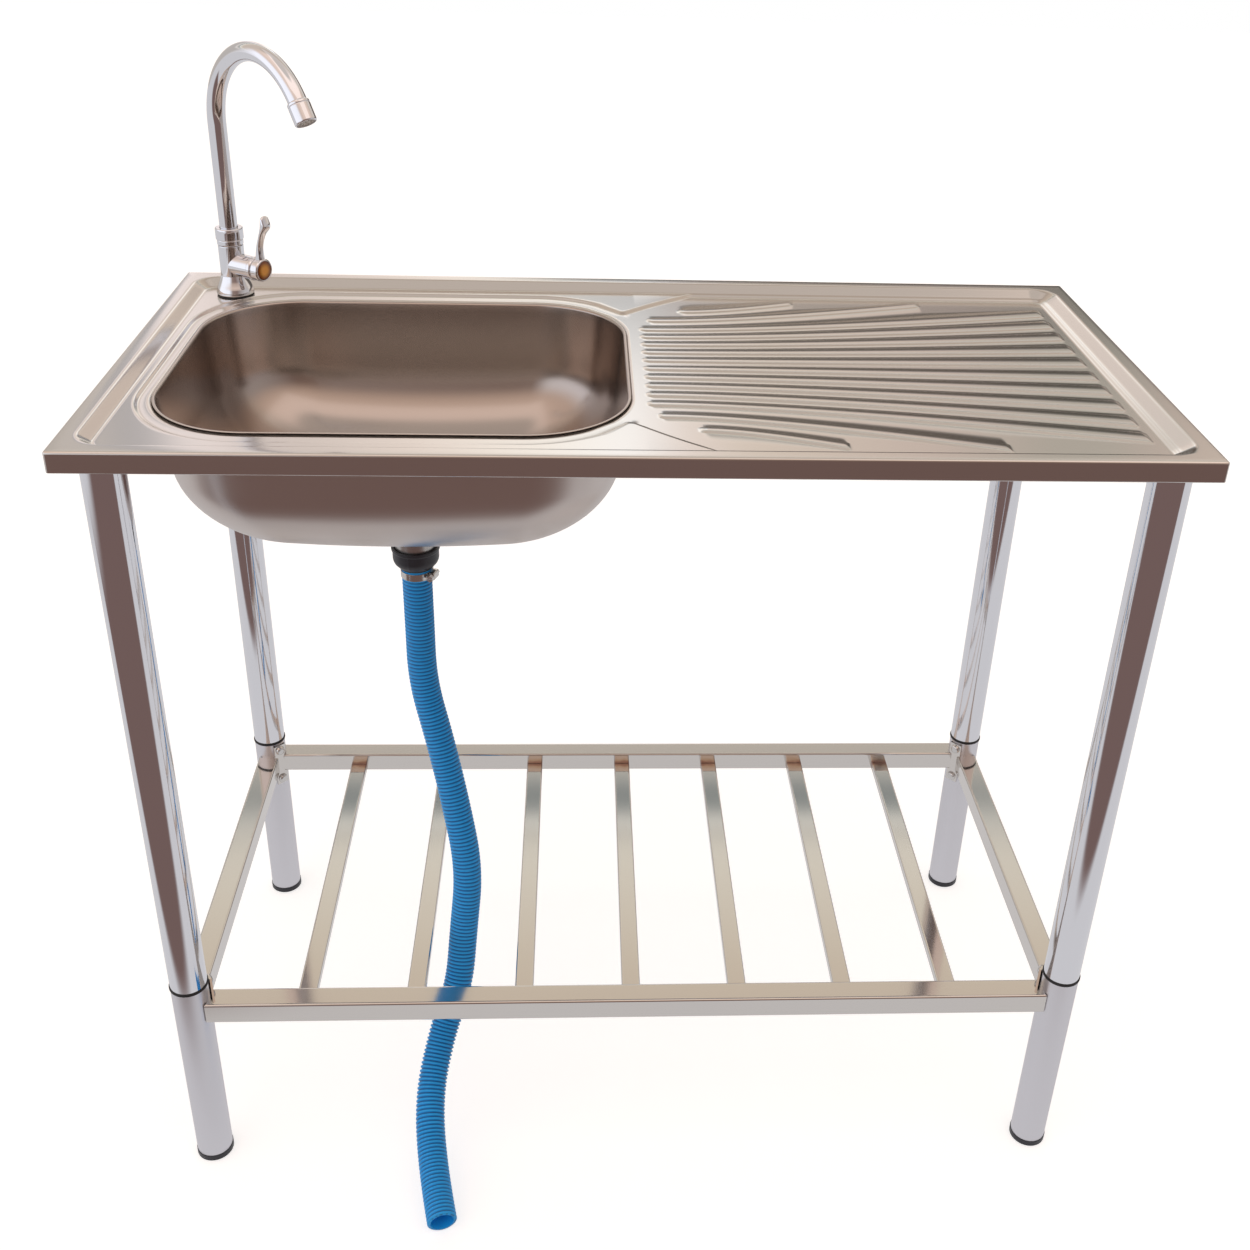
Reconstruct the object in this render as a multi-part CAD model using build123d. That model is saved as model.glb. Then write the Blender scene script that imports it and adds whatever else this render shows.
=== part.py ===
from build123d import *
import math
import os

# Free-standing kitchen sink unit, in millimetres. X runs to the right seen from the front, Y to the
# back, Z up. The origin is on the floor, under the centre of the worktop.

# ---------------------------------------------------------------- driving dimensions: worktop
top_length = 1000.0
top_width = 500.0
top_height = 865.0          # floor to the top of the rim
sheet = 1.0                 # stainless sheet of the worktop and the bowl
plan_corner = 3.0           # outer corners of the rim, seen from above
rim_edge = 2.5              # rounding where the rim turns down into the skirt
skirt_height = 20.0
skirt_return = 7.0          # return lip along the bottom of the skirt
rim_border = 16.0           # flat border round the recess
recess_depth = 8.0
recess_run = 12.0           # sideways run of the recess wall
recess_corner = 27.0
plate_cut = 5.0             # how far a cutting shape runs past the sheet it cuts
ledge_depth = 2.5           # the bowl ledge and the drainer lie this far under the deck
ledge_run = 4.0

# ---------------------------------------------------------------- driving dimensions: bowl
bowl_left_margin = 52.0     # worktop's left end to the bowl
bowl_length = 434.0
bowl_side_margin = 70.0     # worktop's front or back to the bowl
bowl_corner = 95.0
bowl_depth = 148.0          # ledge to the bowl floor
bowl_draft = 8.0            # degrees
bowl_floor_radius = 70.0
bowl_flange = 8.0           # welding flange under the worktop
ledge_width_x = 17.0        # ledge left and right of the bowl opening
ledge_width_y = 27.0        # ledge in front of and behind it
waste_seat_radius = 38.0
waste_seat_depth = 3.0
waste_hole_clearance = 0.25

# ---------------------------------------------------------------- driving dimensions: drainer
drainer_margin = 1.5        # flat strip between the drainer and the recess wall
drainer_neck_inset = 30.0   # bowl's side to the neck of the drainer beside it
drainer_lap = 2.0           # how far the drainer starts inside the bowl's edge
drainer_shoulder_run = 34.0  # bowl's edge to the middle of the flare
drainer_shoulder_inset = 35.5  # drainer's side to the middle of the flare
drainer_flare_run = 80.0    # bowl's edge to where the drainer has its full width
drainer_corner = 12.0
rib_height = 2.0
rib_draft = 25.0            # degrees, on the ribs' flanks
rib_nose_width = 11.5
rib_end_width = 24.0
rib_nose_pitch = 23.3
rib_end_pitch = 39.0
rib_nose_run = 19.0         # bowl's edge to the long ribs' noses
rib_end_margin = 14.5       # the long ribs' ends to the drainer's far edge
rib_bend = 0.3              # where a rib bends, as a share of its length
long_rib_pairs = 5
# outer ribs: nose from the bowl's edge, nose y, end from the drainer's far edge and side edge, end width
outer_ribs = [(28.0, 134.0, 148.5, 18.5, 20.0), (64.0, 166.0, 292.5, 20.5, 16.0)]

# ---------------------------------------------------------------- driving dimensions: legs
leg_end_margin = 37.0       # worktop's end to a leg's axis
leg_side_margin = 29.0      # worktop's front or back to a leg's axis
leg_radius = 19.0
leg_wall = 1.2
leg_fit = 0.25              # radial clearance of every plug inside a leg tube
leg_joint_z = 249.0
ring_thickness = 3.5
ring_proud = 0.9
leg_plug_margin = 10.0      # how far an upper leg's plug runs past the lower strap bolt
socket_depth = 40.0         # how far the worktop's socket reaches into an upper leg
socket_plate = 2.5
socket_plate_inset = 12.0   # how far the plate passes the leg's axis towards the middle
cap_height = 8.0
cap_proud = 0.6
cap_plug = 22.0
cap_wall = 2.0
cap_chamfer = 1.5

# ---------------------------------------------------------------- driving dimensions: shelf
rail_size = 25.0
rail_wall = 1.2
rail_drop = 20.5            # leg joint to the top of the rails
rail_gap = 1.0              # between a rail's coped end and the leg
slat_count = 7
slat_width = 20.0
slat_height = 10.0
slat_wall = 1.0
strap_width = 16.0
strap_thickness = 2.5
strap_gap = 0.2
strap_ring_gap = 1.75       # strap's end to the rubber ring
bolt_rail_gap = 3.3         # bolt's head to the rail
bolt_radius = 2.5
bolt_hole_clearance = 0.15
bolt_length = 10.0
bolt_head_radius = 6.2
bolt_head_height = 4.0
bolt_dome = 3.6             # rounding of the head

# ---------------------------------------------------------------- driving dimensions: tap
tap_leg_gap = 0.85          # washer to the back left leg
tap_leg_heading = -38.9     # degrees from +X, from that leg's axis to the tap's
tap_seal = 1.5
tap_seal_setback = 0.5
tap_base_radius = 20.0
tap_base_height = 3.0
tap_flare_height = 17.0
# the flare's outline, as a share of its width that is left at a share of its height
tap_flare = [(0.88, 0.18), (0.55, 0.44), (0.23, 0.72)]
tap_body_radius = 13.5
tap_body_height = 55.0
tap_neck_radius = 11.3
tap_neck_height = 8.0
shank_radius = 10.48        # G 1/2 thread, drawn smooth
shank_length = 56.0
shank_hole_clearance = 0.6
water_way_radius = 5.0
washer_thickness = 2.0
lock_nut_flats = 23.5
lock_nut_height = 6.0
thread_gap = 0.15
spout_nut_radius = 14.75
spout_nut_cap = 6.0
spout_nut_edge = 1.5
swivel_gap = 0.3
spout_radius = 9.5
spout_bore = 8.3
spout_collar_height = 4.0
spout_collar_setback = 0.4
stem_radius = 8.0
stem_bore = 5.5
stem_length = 25.0
o_ring_section = 2.4
o_ring_groove = 1.8         # depth of the groove in the stem
o_ring_play = 0.1
o_ring_squeeze_gap = 0.05
spout_heading = -45.0       # degrees from +X, about Z
arch_radius = 80.0
spout_rise = 183.0          # deck to the centre of the arch
arch_turn = 148.0           # degrees
spout_tail = 22.0
aerator_radius = 11.2
aerator_chamfer = 1.2
insert_height = 9.0
insert_setback = 1.0
insert_hole_radius = 1.3
insert_hole_circle = 5.7
insert_hole_count = 8

# ---------------------------------------------------------------- driving dimensions: tap valve
valve_heading = -32.6       # degrees from +X, about Z
valve_height = 33.4         # deck to the valve's axis
boss_radius = 12.4
boss_reach = 31.2
bonnet_radius = 12.9
bonnet_length = 5.0
bonnet_chamfer = 1.0
cartridge_radius = 8.0
cartridge_clearance = 0.05
cartridge_start = 11.0
spindle_radius = 4.0
spindle_start = 14.0
lever_gap = 0.4
hub_radius = 12.5
hub_length = 9.8
hub_grip = 6.5              # length of the hub's bore over the spindle
hub_chamfer = 0.8
index_radius = 10.0
index_height = 1.6
index_crown = 0.4
index_edge = 0.3
index_clearance = 0.1
lever_height = 60.0         # from the valve axis to the lever's tip
lever_width = 10.0
lever_root_depth = 2.5      # how far the arm starts inside the hub
# the arm's two faces from the hub's middle, along the valve, at shares of the arm's height
lever_faces = [(0.0, -4.3, 4.3), (0.35, -0.2, 4.2), (0.58, 4.6, 8.8), (0.76, 8.2, 15.6), (0.96, 9.6, 13.2)]
lever_tip = 11.6            # the arm's tip, from the hub's middle

# ---------------------------------------------------------------- driving dimensions: waste
waste_flange_gap = 2.0      # flange's edge to the wall of the seat
waste_flange_height = 2.0
waste_flange_rim = 0.8      # height of the flange's edge
waste_flange_slope = 2.0
waste_tail_radius = 22.0
waste_tail_wall = 2.0
waste_tail_length = 66.5
basket_rim_radius = 25.0
basket_clearance = 0.6
basket_depth = 14.0
basket_wall = 1.0
basket_hole_radius = 2.0
basket_hole_count = 8
basket_hole_circle = 12.0
basket_stem_radius = 2.5
basket_knob_radius = 5.0
basket_knob_height = 13.0
# the knob's outline, as radii taken off and drops from its top
basket_knob = [(0.0, 2.0), (0.0, 0.8), (1.0, 0.0)]
basket_knob_thickness = 3.0
seal_height = 3.0
seal_radius = 33.0
back_nut_radius = 30.0
back_nut_height = 11.0
coupling_thread = 13.0      # how far the coupling is screwed up the waste's tail
coupling_height = 25.0
coupling_radius = 25.5
coupling_rim = 3.0          # height of the rim round its top
coupling_rim_step = 1.0
coupling_floor = 2.0
coupling_neck_radius = 17.5
coupling_neck_height = 1.5
coupling_waist = 8.0        # height of the waist over the hose's end
coupling_bulge = 1.5
spigot_radius = 12.2
spigot_bore = 9.5
spigot_length = 28.0
spigot_chamfer = 0.8
spigot_chamfer_run = 2.0

# ---------------------------------------------------------------- driving dimensions: drain hose
hose_radius = 16.0
hose_root_radius = 14.3
hose_bore = 12.5
hose_rib_pitch = 4.4
# a rib's root ends, its flank ends and its crown ends at these shares of the pitch
hose_rib_shares = (0.25, 0.45, 0.80)
bend_share = 0.45           # part of the shorter run that a bend may use

clamp_gap = 0.2
clamp_band = 0.8
clamp_width = 8.0
clamp_drop = 2.5            # clamp's top under the coupling's shoulder
clamp_heading = -20.0       # degrees from +X of the screw housing
housing_depth = 6.5
housing_length = 12.0
housing_height = 9.0
clamp_screw_radius = 2.4
clamp_screw_length = 16.0
clamp_head_radius = 3.8
clamp_head_length = 4.0
clamp_screw_clearance = 0.1
clamp_slot_width = 1.0
clamp_slot_depth = 1.2

# ---------------------------------------------------------------- values worked out from these
deck_z = top_height - recess_depth
ledge_z = deck_z - ledge_depth
flange_z = ledge_z - sheet
bowl_floor_z = ledge_z - bowl_depth
bowl_x = bowl_left_margin + bowl_length / 2 - top_length / 2
bowl_edge_x = bowl_x + bowl_length / 2
bowl_width = top_width - 2 * bowl_side_margin
recess_length = top_length - 2 * rim_border
recess_width = top_width - 2 * rim_border
deck_half_x = recess_length / 2 - recess_run
deck_half_y = recess_width / 2 - recess_run
drainer_far_x = deck_half_x - drainer_margin
drainer_half_y = deck_half_y - drainer_margin
drainer_neck_half = bowl_width / 2 - drainer_neck_inset
drainer_shoulder_half = drainer_half_y - drainer_shoulder_inset
leg_x = top_length / 2 - leg_end_margin
leg_y = top_width / 2 - leg_side_margin
rail_top = leg_joint_z - rail_drop
rail_bottom = rail_top - rail_size
rail_mid = rail_top - rail_size / 2
slat_pitch = 2 * leg_x / (slat_count + 1)
bolt_spacing = rail_size + 2 * (bolt_rail_gap + bolt_head_radius)
strap_height = 2 * (leg_joint_z - ring_thickness / 2 - strap_ring_gap - rail_mid)
standing = (Align.CENTER, Align.CENTER, Align.MIN)
hanging = (Align.CENTER, Align.CENTER, Align.MAX)
corners = {"front_left": (-1, -1), "front_right": (1, -1), "back_left": (-1, 1), "back_right": (1, 1)}
seat_floor_z = bowl_floor_z - waste_seat_depth
seat_under_z = seat_floor_z - sheet
waste_flange_radius = waste_seat_radius - waste_flange_gap
waste_tail_z = seat_floor_z - waste_tail_length
coupling_top_z = waste_tail_z + coupling_thread
coupling_shoulder_z = coupling_top_z - coupling_height
coupling_waist_z = coupling_shoulder_z + coupling_waist

# the hose's centre line: straight down from the coupling, forward under the front rail, to the floor
hose_route = [
    (bowl_x, 0.0, coupling_shoulder_z),
    (bowl_x, 0.0, 555.0),
    (-230.5, -6.0, 484.0),
    (-213.0, -23.0, 418.0),
    (-196.0, -46.5, 347.0),
    (-181.5, -70.5, 271.0),
    (-189.0, -90.5, 198.0),
    (-193.5, -117.0, 143.0),
    (-213.0, -151.5, 97.0),
    (-224.5, -206.5, 56.5),
    (-214.5, -277.5, 23.5),
    (-200.0, -336.0, 16.3),
]


def save(part, name):
    """Writes one sub-part, or a group of like solids, to its STEP file."""
    part.label = name
    export_step(part, f"parts/{name}.step")


def turned(profile):
    """Solid of revolution about Z from a list of (radius, z) points."""
    outline = Polyline([(radius, 0, z) for radius, z in profile], close=True)
    return revolve(make_face(outline), Axis.Z)


def heading_plane(origin, degrees_from_x):
    """Plane at origin whose normal is level and points along a heading in the XY plane."""
    angle = math.radians(degrees_from_x)
    return Plane(origin=origin, x_dir=(0, 0, 1), z_dir=(math.cos(angle), math.sin(angle), 0))


# ---------------------------------------------------------------- worktop
def sloped_pan(length, width, corner, x, z_top, depth, run):
    """Tool for a pressed pan: its sloped wall meets z_top on the given outline."""
    over = 1.0
    grow = over * run / depth
    upper = Pos(x, 0, z_top + over) * RectangleRounded(length + 2 * grow, width + 2 * grow, corner + grow)
    lower = Pos(x, 0, z_top - depth) * RectangleRounded(length - 2 * run, width - 2 * run, corner - run)
    return loft([upper, lower], ruled=True)


def drainer_outline(grow):
    """Plan of the drainer: a neck beside the bowl that flares in an S to the full deck."""
    neck_x = bowl_edge_x - drainer_lap
    far_x = drainer_far_x + grow
    half_y = drainer_half_y + grow
    flare_x = bowl_edge_x + drainer_flare_run - grow
    shoulder = (bowl_edge_x + drainer_shoulder_run - grow, drainer_shoulder_half + grow)
    flare_back = Spline((neck_x, drainer_neck_half + grow), shoulder, (flare_x, half_y))
    flare_front = mirror(flare_back, Plane.XZ)
    box = Polyline((flare_x, half_y), (far_x, half_y), (far_x, -half_y), (flare_x, -half_y))
    neck = Line((neck_x, drainer_neck_half + grow), (neck_x, -drainer_neck_half - grow))
    face = make_face([flare_back, flare_front, box, neck])
    right = face.vertices().sort_by(Axis.X)[-2:]
    return fillet(right, drainer_corner + grow)


def rib_outline(nose, end, nose_width, end_width, inset):
    """Plan of one rib, moved in by inset: round nose, gently bent sides and a square far end."""
    nose_x, nose_y = nose
    end_x, end_y = end
    half_nose = nose_width / 2 - inset
    half_end = end_width / 2 - inset
    start_x = nose_x + nose_width / 2
    stop_x = end_x - inset
    bend_x = start_x + rib_bend * (stop_x - start_x)
    half_bend = half_nose + rib_bend * (half_end - half_nose)
    upper = Bezier((start_x, nose_y + half_nose), (bend_x, nose_y + half_bend), (stop_x, end_y + half_end))
    lower = Bezier((start_x, nose_y - half_nose), (bend_x, nose_y - half_bend), (stop_x, end_y - half_end))
    tip = ThreePointArc(upper @ 0, (start_x - half_nose, nose_y), lower @ 0)
    far = Line(upper @ 1, lower @ 1)
    return make_face([upper, lower, tip, far])


def rib_prism(nose, end, end_width, drop):
    """One raised rib with drafted flanks, from inside the pressing to its crown."""
    foot_z = ledge_z - drop - sheet
    crown_z = ledge_z - drop + rib_height
    crown_inset = drop + (crown_z - foot_z) * math.tan(math.radians(rib_draft))
    foot = Pos(0, 0, foot_z) * rib_outline(nose, end, rib_nose_width, end_width, drop)
    crown = Pos(0, 0, crown_z) * rib_outline(nose, end, rib_nose_width, end_width, crown_inset)
    return loft([foot, crown], ruled=True)


def rib_layout():
    """Nose point, end point and end width of each rib, as a fan that is the same front and back."""
    ribs = []
    for row in range(long_rib_pairs):
        nose_y = (row + 0.5) * rib_nose_pitch
        end_y = (row + 0.5) * rib_end_pitch
        nose = (bowl_edge_x + rib_nose_run, nose_y)
        ribs.append((nose, (drainer_far_x - rib_end_margin, end_y), rib_end_width))
    for nose_run, nose_y, end_margin, side_margin, end_width in outer_ribs:
        end = (drainer_far_x - end_margin, drainer_half_y - side_margin)
        ribs.append(((bowl_edge_x + nose_run, nose_y), end, end_width))
    mirrored = [((nx, -ny), (ex, -ey), width) for (nx, ny), (ex, ey), width in ribs]
    return ribs + mirrored


def pressed_block(drop, below):
    """Block whose top is the pressing's surface, lowered by drop, and that ends below the skirt."""
    outline = RectangleRounded(top_length - 2 * drop, top_width - 2 * drop, plan_corner - drop)
    block = Pos(0, 0, top_height - drop) * extrude(outline, drop - skirt_height - below)
    block = fillet(block.faces().sort_by(Axis.Z)[-1].edges(), rim_edge - drop)
    recess = sloped_pan(recess_length, recess_width, recess_corner, 0, top_height - drop,
                        recess_depth, recess_run)
    ledge_length = bowl_length + 2 * ledge_width_x
    ledge = sloped_pan(ledge_length, bowl_width + 2 * ledge_width_y, bowl_corner + ledge_width_x,
                       bowl_x, deck_z - drop, ledge_depth, ledge_run)
    drainer = extrude(drainer_outline(drop), ledge_depth + plate_cut, dir=(0, 0, 1))
    drainer = Pos(0, 0, ledge_z - drop) * drainer
    block = block - recess - ledge - drainer
    ribs = [rib_prism(nose, end, width, drop) for nose, end, width in rib_layout()]
    return block + ribs


def skirt_lip():
    """Return lip along the bottom of the skirt."""
    bottom = top_height - skirt_height
    outer = RectangleRounded(top_length, top_width, plan_corner)
    inner = RectangleRounded(top_length - 2 * skirt_return, top_width - 2 * skirt_return, plan_corner)
    return Pos(0, 0, bottom) * extrude(outer - inner, sheet)


def worktop():
    """The pressed worktop with its skirt, recess, ledge, drainer ribs, bowl opening and tap hole."""
    shell = pressed_block(0, 0) - pressed_block(sheet, plate_cut) + skirt_lip()
    opening = extrude(RectangleRounded(bowl_length, bowl_width, bowl_corner), skirt_height, both=True)
    hole = Cylinder(shank_radius + shank_hole_clearance, skirt_height)
    return shell - Pos(bowl_x, 0, top_height) * opening - Pos(tap_x, tap_y, deck_z) * hole


# ---------------------------------------------------------------- bowl
def bowl_form(grow):
    """The bowl's inside, or its outside when it has grown by the sheet."""
    length = bowl_length + 2 * grow
    width = bowl_width + 2 * grow
    depth = flange_z - bowl_floor_z + grow
    outline = Pos(bowl_x, 0, flange_z) * RectangleRounded(length, width, bowl_corner + grow)
    form = extrude(outline, depth, dir=(0, 0, -1), taper=bowl_draft)
    floor_corner = bowl_corner - depth * math.tan(math.radians(bowl_draft))
    floor_radius = min(bowl_floor_radius, floor_corner) + grow
    form = fillet(form.faces().sort_by(Axis.Z)[0].edges(), floor_radius)
    seat_height = waste_seat_depth + plate_cut
    seat = Cylinder(waste_seat_radius + grow, seat_height, align=standing)
    return form + Pos(bowl_x, 0, seat_floor_z - grow) * seat


def bowl():
    """The bowl with its welding flange, waste seat and waste hole."""
    flange_face = RectangleRounded(bowl_length + 2 * bowl_flange, bowl_width + 2 * bowl_flange,
                                   bowl_corner + bowl_flange)
    flange = Pos(bowl_x, 0, flange_z) * extrude(flange_face, -sheet)
    hole = Cylinder(waste_tail_radius + waste_hole_clearance, sheet + plate_cut)
    hole = Pos(bowl_x, 0, seat_floor_z) * hole
    return bowl_form(sheet) + flange - bowl_form(0) - hole


# ---------------------------------------------------------------- legs
def plate_top(side_x):
    """Underside of the pressing over a leg: the deck on the left, the drainer on the right."""
    return (deck_z if side_x < 0 else ledge_z) - sheet


def leg_socket(side_x, side_y):
    """Corner plate welded inside the skirt, with the plug that the upper leg is pushed over."""
    z_top = plate_top(side_x)
    reach_x = top_length / 2 - sheet - leg_x
    reach_y = top_width / 2 - sheet - leg_y
    outline = RectangleRounded(reach_x + socket_plate_inset, reach_y + socket_plate_inset, plan_corner)
    shift_x = side_x * (leg_x + (reach_x - socket_plate_inset) / 2)
    shift_y = side_y * (leg_y + (reach_y - socket_plate_inset) / 2)
    plate = Pos(shift_x, shift_y, z_top) * extrude(outline, -socket_plate)
    radius = leg_radius - leg_wall - leg_fit
    plug = Cylinder(radius, socket_depth) - Cylinder(radius - leg_wall, socket_depth)
    plug_z = z_top - socket_plate - socket_depth / 2
    return plate + Pos(side_x * leg_x, side_y * leg_y, plug_z) * plug


def strap_plane(side_x, side_y, z):
    """Plane on a leg's axis whose normal points to the inner corner of the shelf frame."""
    heading = math.degrees(math.atan2(-side_y, -side_x))
    return heading_plane((side_x * leg_x, side_y * leg_y, z), heading)


def bolt_holes(side_x, side_y):
    """Clearance holes of the two strap bolts, through the leg tubes and the strap."""
    holes = []
    for z in (rail_mid - bolt_spacing / 2, rail_mid + bolt_spacing / 2):
        hole = Cylinder(bolt_radius + bolt_hole_clearance, 2 * leg_radius,
                        align=standing)
        holes.append(strap_plane(side_x, side_y, z) * hole)
    return holes


def upper_leg(side_x, side_y):
    """Polished upper tube, swaged at its foot to plug into the lower leg."""
    bottom = leg_joint_z + ring_thickness / 2
    top = plate_top(side_x) - socket_plate
    bore = leg_radius - leg_wall
    plug = bore - leg_fit
    plug_end = rail_mid - bolt_spacing / 2 - leg_plug_margin
    profile = [
        (plug - leg_wall, plug_end),
        (plug, plug_end),
        (plug, bottom),
        (leg_radius, bottom),
        (leg_radius, top),
        (bore, top),
        (bore, bottom + 2 * leg_wall),
        (plug - leg_wall, bottom + leg_wall),
    ]
    tube = Pos(side_x * leg_x, side_y * leg_y, 0) * turned(profile)
    return tube - bolt_holes(side_x, side_y)


def leg_ring(side_x, side_y):
    """Black rubber ring between an upper and a lower leg."""
    ring = Cylinder(leg_radius + ring_proud, ring_thickness)
    ring = ring - Cylinder(leg_radius - leg_wall, ring_thickness)
    rounded = fillet(ring.edges().filter_by(GeomType.CIRCLE).group_by(SortBy.RADIUS)[-1], ring_proud)
    return Pos(side_x * leg_x, side_y * leg_y, leg_joint_z) * rounded


def lower_leg(side_x, side_y):
    """Satin lower tube, from the foot cap to the rubber ring."""
    top = leg_joint_z - ring_thickness / 2
    bore = leg_radius - leg_wall
    tube = turned([(bore, cap_height), (leg_radius, cap_height), (leg_radius, top), (bore, top)])
    return Pos(side_x * leg_x, side_y * leg_y, 0) * tube - bolt_holes(side_x, side_y)


def foot_cap(side_x, side_y):
    """Black plastic foot with a hollow plug inside the tube."""
    outer = leg_radius + cap_proud
    plug = leg_radius - leg_wall - leg_fit
    profile = [
        (0, 0),
        (outer - cap_chamfer, 0),
        (outer, cap_chamfer),
        (outer, cap_height),
        (plug, cap_height),
        (plug, cap_height + cap_plug),
        (plug - cap_wall, cap_height + cap_plug),
        (plug - cap_wall, cap_height),
        (0, cap_height),
    ]
    return Pos(side_x * leg_x, side_y * leg_y, 0) * turned(profile)


# ---------------------------------------------------------------- shelf
def strap_blank(side_x, side_y):
    """Plate of a corner strap, in its place."""
    plate = Box(strap_height, strap_width, strap_thickness, align=standing)
    return strap_plane(side_x, side_y, rail_mid) * Pos(0, 0, leg_radius + strap_gap) * plate


def corner_strap(side_x, side_y):
    """Upright strap at the frame's inner corner, welded to two rails and bolted to the leg."""
    return strap_blank(side_x, side_y) - bolt_holes(side_x, side_y)


def strap_bolts():
    """The eight dome-headed bolts of the corner straps."""
    bolts = []
    seat = leg_radius + strap_gap + strap_thickness
    head = Cylinder(bolt_head_radius, bolt_head_height, align=standing)
    head = fillet(head.faces().sort_by(Axis.Z)[-1].edges(), bolt_dome)
    shank = Cylinder(bolt_radius, bolt_length, align=hanging)
    bolt = Pos(0, 0, seat) * (head + shank)
    for side_x, side_y in corners.values():
        for z in (rail_mid - bolt_spacing / 2, rail_mid + bolt_spacing / 2):
            bolts.append(strap_plane(side_x, side_y, z) * bolt)
    return Compound(children=bolts)


def square_tube(length):
    """Square tube along X, centred on the origin."""
    bore = rail_size - 2 * rail_wall
    return Box(length, rail_size, rail_size) - Box(length, bore, bore)


def leg_clearances():
    """Tools that cope the rails round the legs and seat them on the corner straps."""
    tools = []
    for side_x, side_y in corners.values():
        cope = Cylinder(leg_radius + rail_gap, 2 * rail_size)
        tools.append(Pos(side_x * leg_x, side_y * leg_y, rail_mid) * cope)
        tools.append(strap_blank(side_x, side_y))
    return tools


def long_rail(side_y):
    """Front or back rail of the shelf frame."""
    tube = Pos(0, side_y * leg_y, rail_mid) * square_tube(2 * leg_x)
    return largest(tube - leg_clearances())


def side_rail(side_x):
    """Left or right rail of the shelf frame."""
    tube = Pos(side_x * leg_x, 0, rail_mid) * Rot(0, 0, 90) * square_tube(2 * leg_y)
    return largest(tube - leg_clearances())


def largest(shape):
    """The biggest solid of a cut shape, without the crumbs that a cope leaves behind a leg."""
    return shape.solids().sort_by(SortBy.VOLUME)[-1]


def shelf_slat(index):
    """One flat-tube slat between the front and back rails, flush with their undersides."""
    length = 2 * leg_y - rail_size
    x = (index - (slat_count - 1) / 2) * slat_pitch
    tube = Box(slat_width, length, slat_height)
    tube = tube - Box(slat_width - 2 * slat_wall, length, slat_height - 2 * slat_wall)
    tube = fillet(tube.edges().filter_by(Axis.Y).sort_by_distance((0, 0, 0))[-4:], slat_wall)
    return Pos(x, 0, rail_bottom + slat_height / 2) * tube


# ---------------------------------------------------------------- tap
washer_radius = lock_nut_flats / math.sqrt(3)
tap_leg_distance = leg_radius + washer_radius + tap_leg_gap
tap_x = -leg_x + tap_leg_distance * math.cos(math.radians(tap_leg_heading))
tap_y = leg_y + tap_leg_distance * math.sin(math.radians(tap_leg_heading))
valve_z = deck_z + valve_height
arch_centre_z = deck_z + spout_rise
body_foot_z = deck_z + tap_seal
body_top_z = deck_z + tap_body_height
neck_top_z = body_top_z + tap_neck_height
collar_foot_z = neck_top_z + swivel_gap
tube_foot_z = collar_foot_z + spout_collar_height
valve_origin = (tap_x, tap_y, valve_z)
hub_start = boss_reach + bonnet_length + lever_gap


def tap_seal_ring():
    """Rubber seal between the tap and the deck."""
    return Pos(tap_x, tap_y, 0) * turned([
        (shank_radius + thread_gap, deck_z),
        (tap_base_radius - tap_seal_setback, deck_z),
        (tap_base_radius - tap_seal_setback, body_foot_z),
        (shank_radius + thread_gap, body_foot_z),
    ])


def tap_body():
    """Cast body: threaded shank, flared base, column, side boss and the neck for the spout nut."""
    base_z = body_foot_z + tap_base_height
    flare_width = tap_base_radius - tap_body_radius
    flare = [(tap_body_radius + width * flare_width, base_z + height * tap_flare_height)
             for width, height in tap_flare]
    stem_foot = collar_foot_z - stem_length - swivel_gap
    profile = [
        (water_way_radius, deck_z - shank_length),
        (shank_radius, deck_z - shank_length),
        (shank_radius, body_foot_z),
        (tap_base_radius, body_foot_z),
        (tap_base_radius, base_z),
        *flare,
        (tap_body_radius, base_z + tap_flare_height),
        (tap_body_radius, body_top_z),
        (tap_neck_radius, body_top_z),
        (tap_neck_radius, neck_top_z),
        (stem_radius + swivel_gap, neck_top_z),
        (stem_radius + swivel_gap, stem_foot),
        (water_way_radius, stem_foot),
    ]
    column = Pos(tap_x, tap_y, 0) * turned(profile)
    axis = heading_plane(valve_origin, valve_heading)
    boss = Cylinder(boss_radius, boss_reach, align=standing)
    boss = axis * boss - Pos(tap_x, tap_y, valve_z) * Cylinder(water_way_radius, 4 * boss_radius)
    chamber = Cylinder(cartridge_radius, boss_reach, align=standing)
    port = Cylinder(water_way_radius / 2, cartridge_start, align=standing)
    stem_room = Cylinder(stem_radius + swivel_gap, neck_top_z - stem_foot,
                         align=standing)
    return (column + boss - axis * Pos(0, 0, cartridge_start) * chamber - axis * port
            - Pos(tap_x, tap_y, stem_foot) * stem_room)


def tap_washer():
    """Washer under the deck."""
    return Pos(tap_x, tap_y, 0) * turned([
        (shank_radius + thread_gap, deck_z - sheet - washer_thickness),
        (washer_radius, deck_z - sheet - washer_thickness),
        (washer_radius, deck_z - sheet),
        (shank_radius + thread_gap, deck_z - sheet),
    ])


def tap_lock_nut():
    """Hexagon nut that pulls the tap down on the deck."""
    nut = extrude(RegularPolygon(lock_nut_flats / 2, 6, major_radius=False), lock_nut_height)
    nut = nut - Cylinder(shank_radius + thread_gap, 4 * lock_nut_height)
    z = deck_z - sheet - washer_thickness - lock_nut_height
    return Pos(tap_x, tap_y, z) * nut


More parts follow.
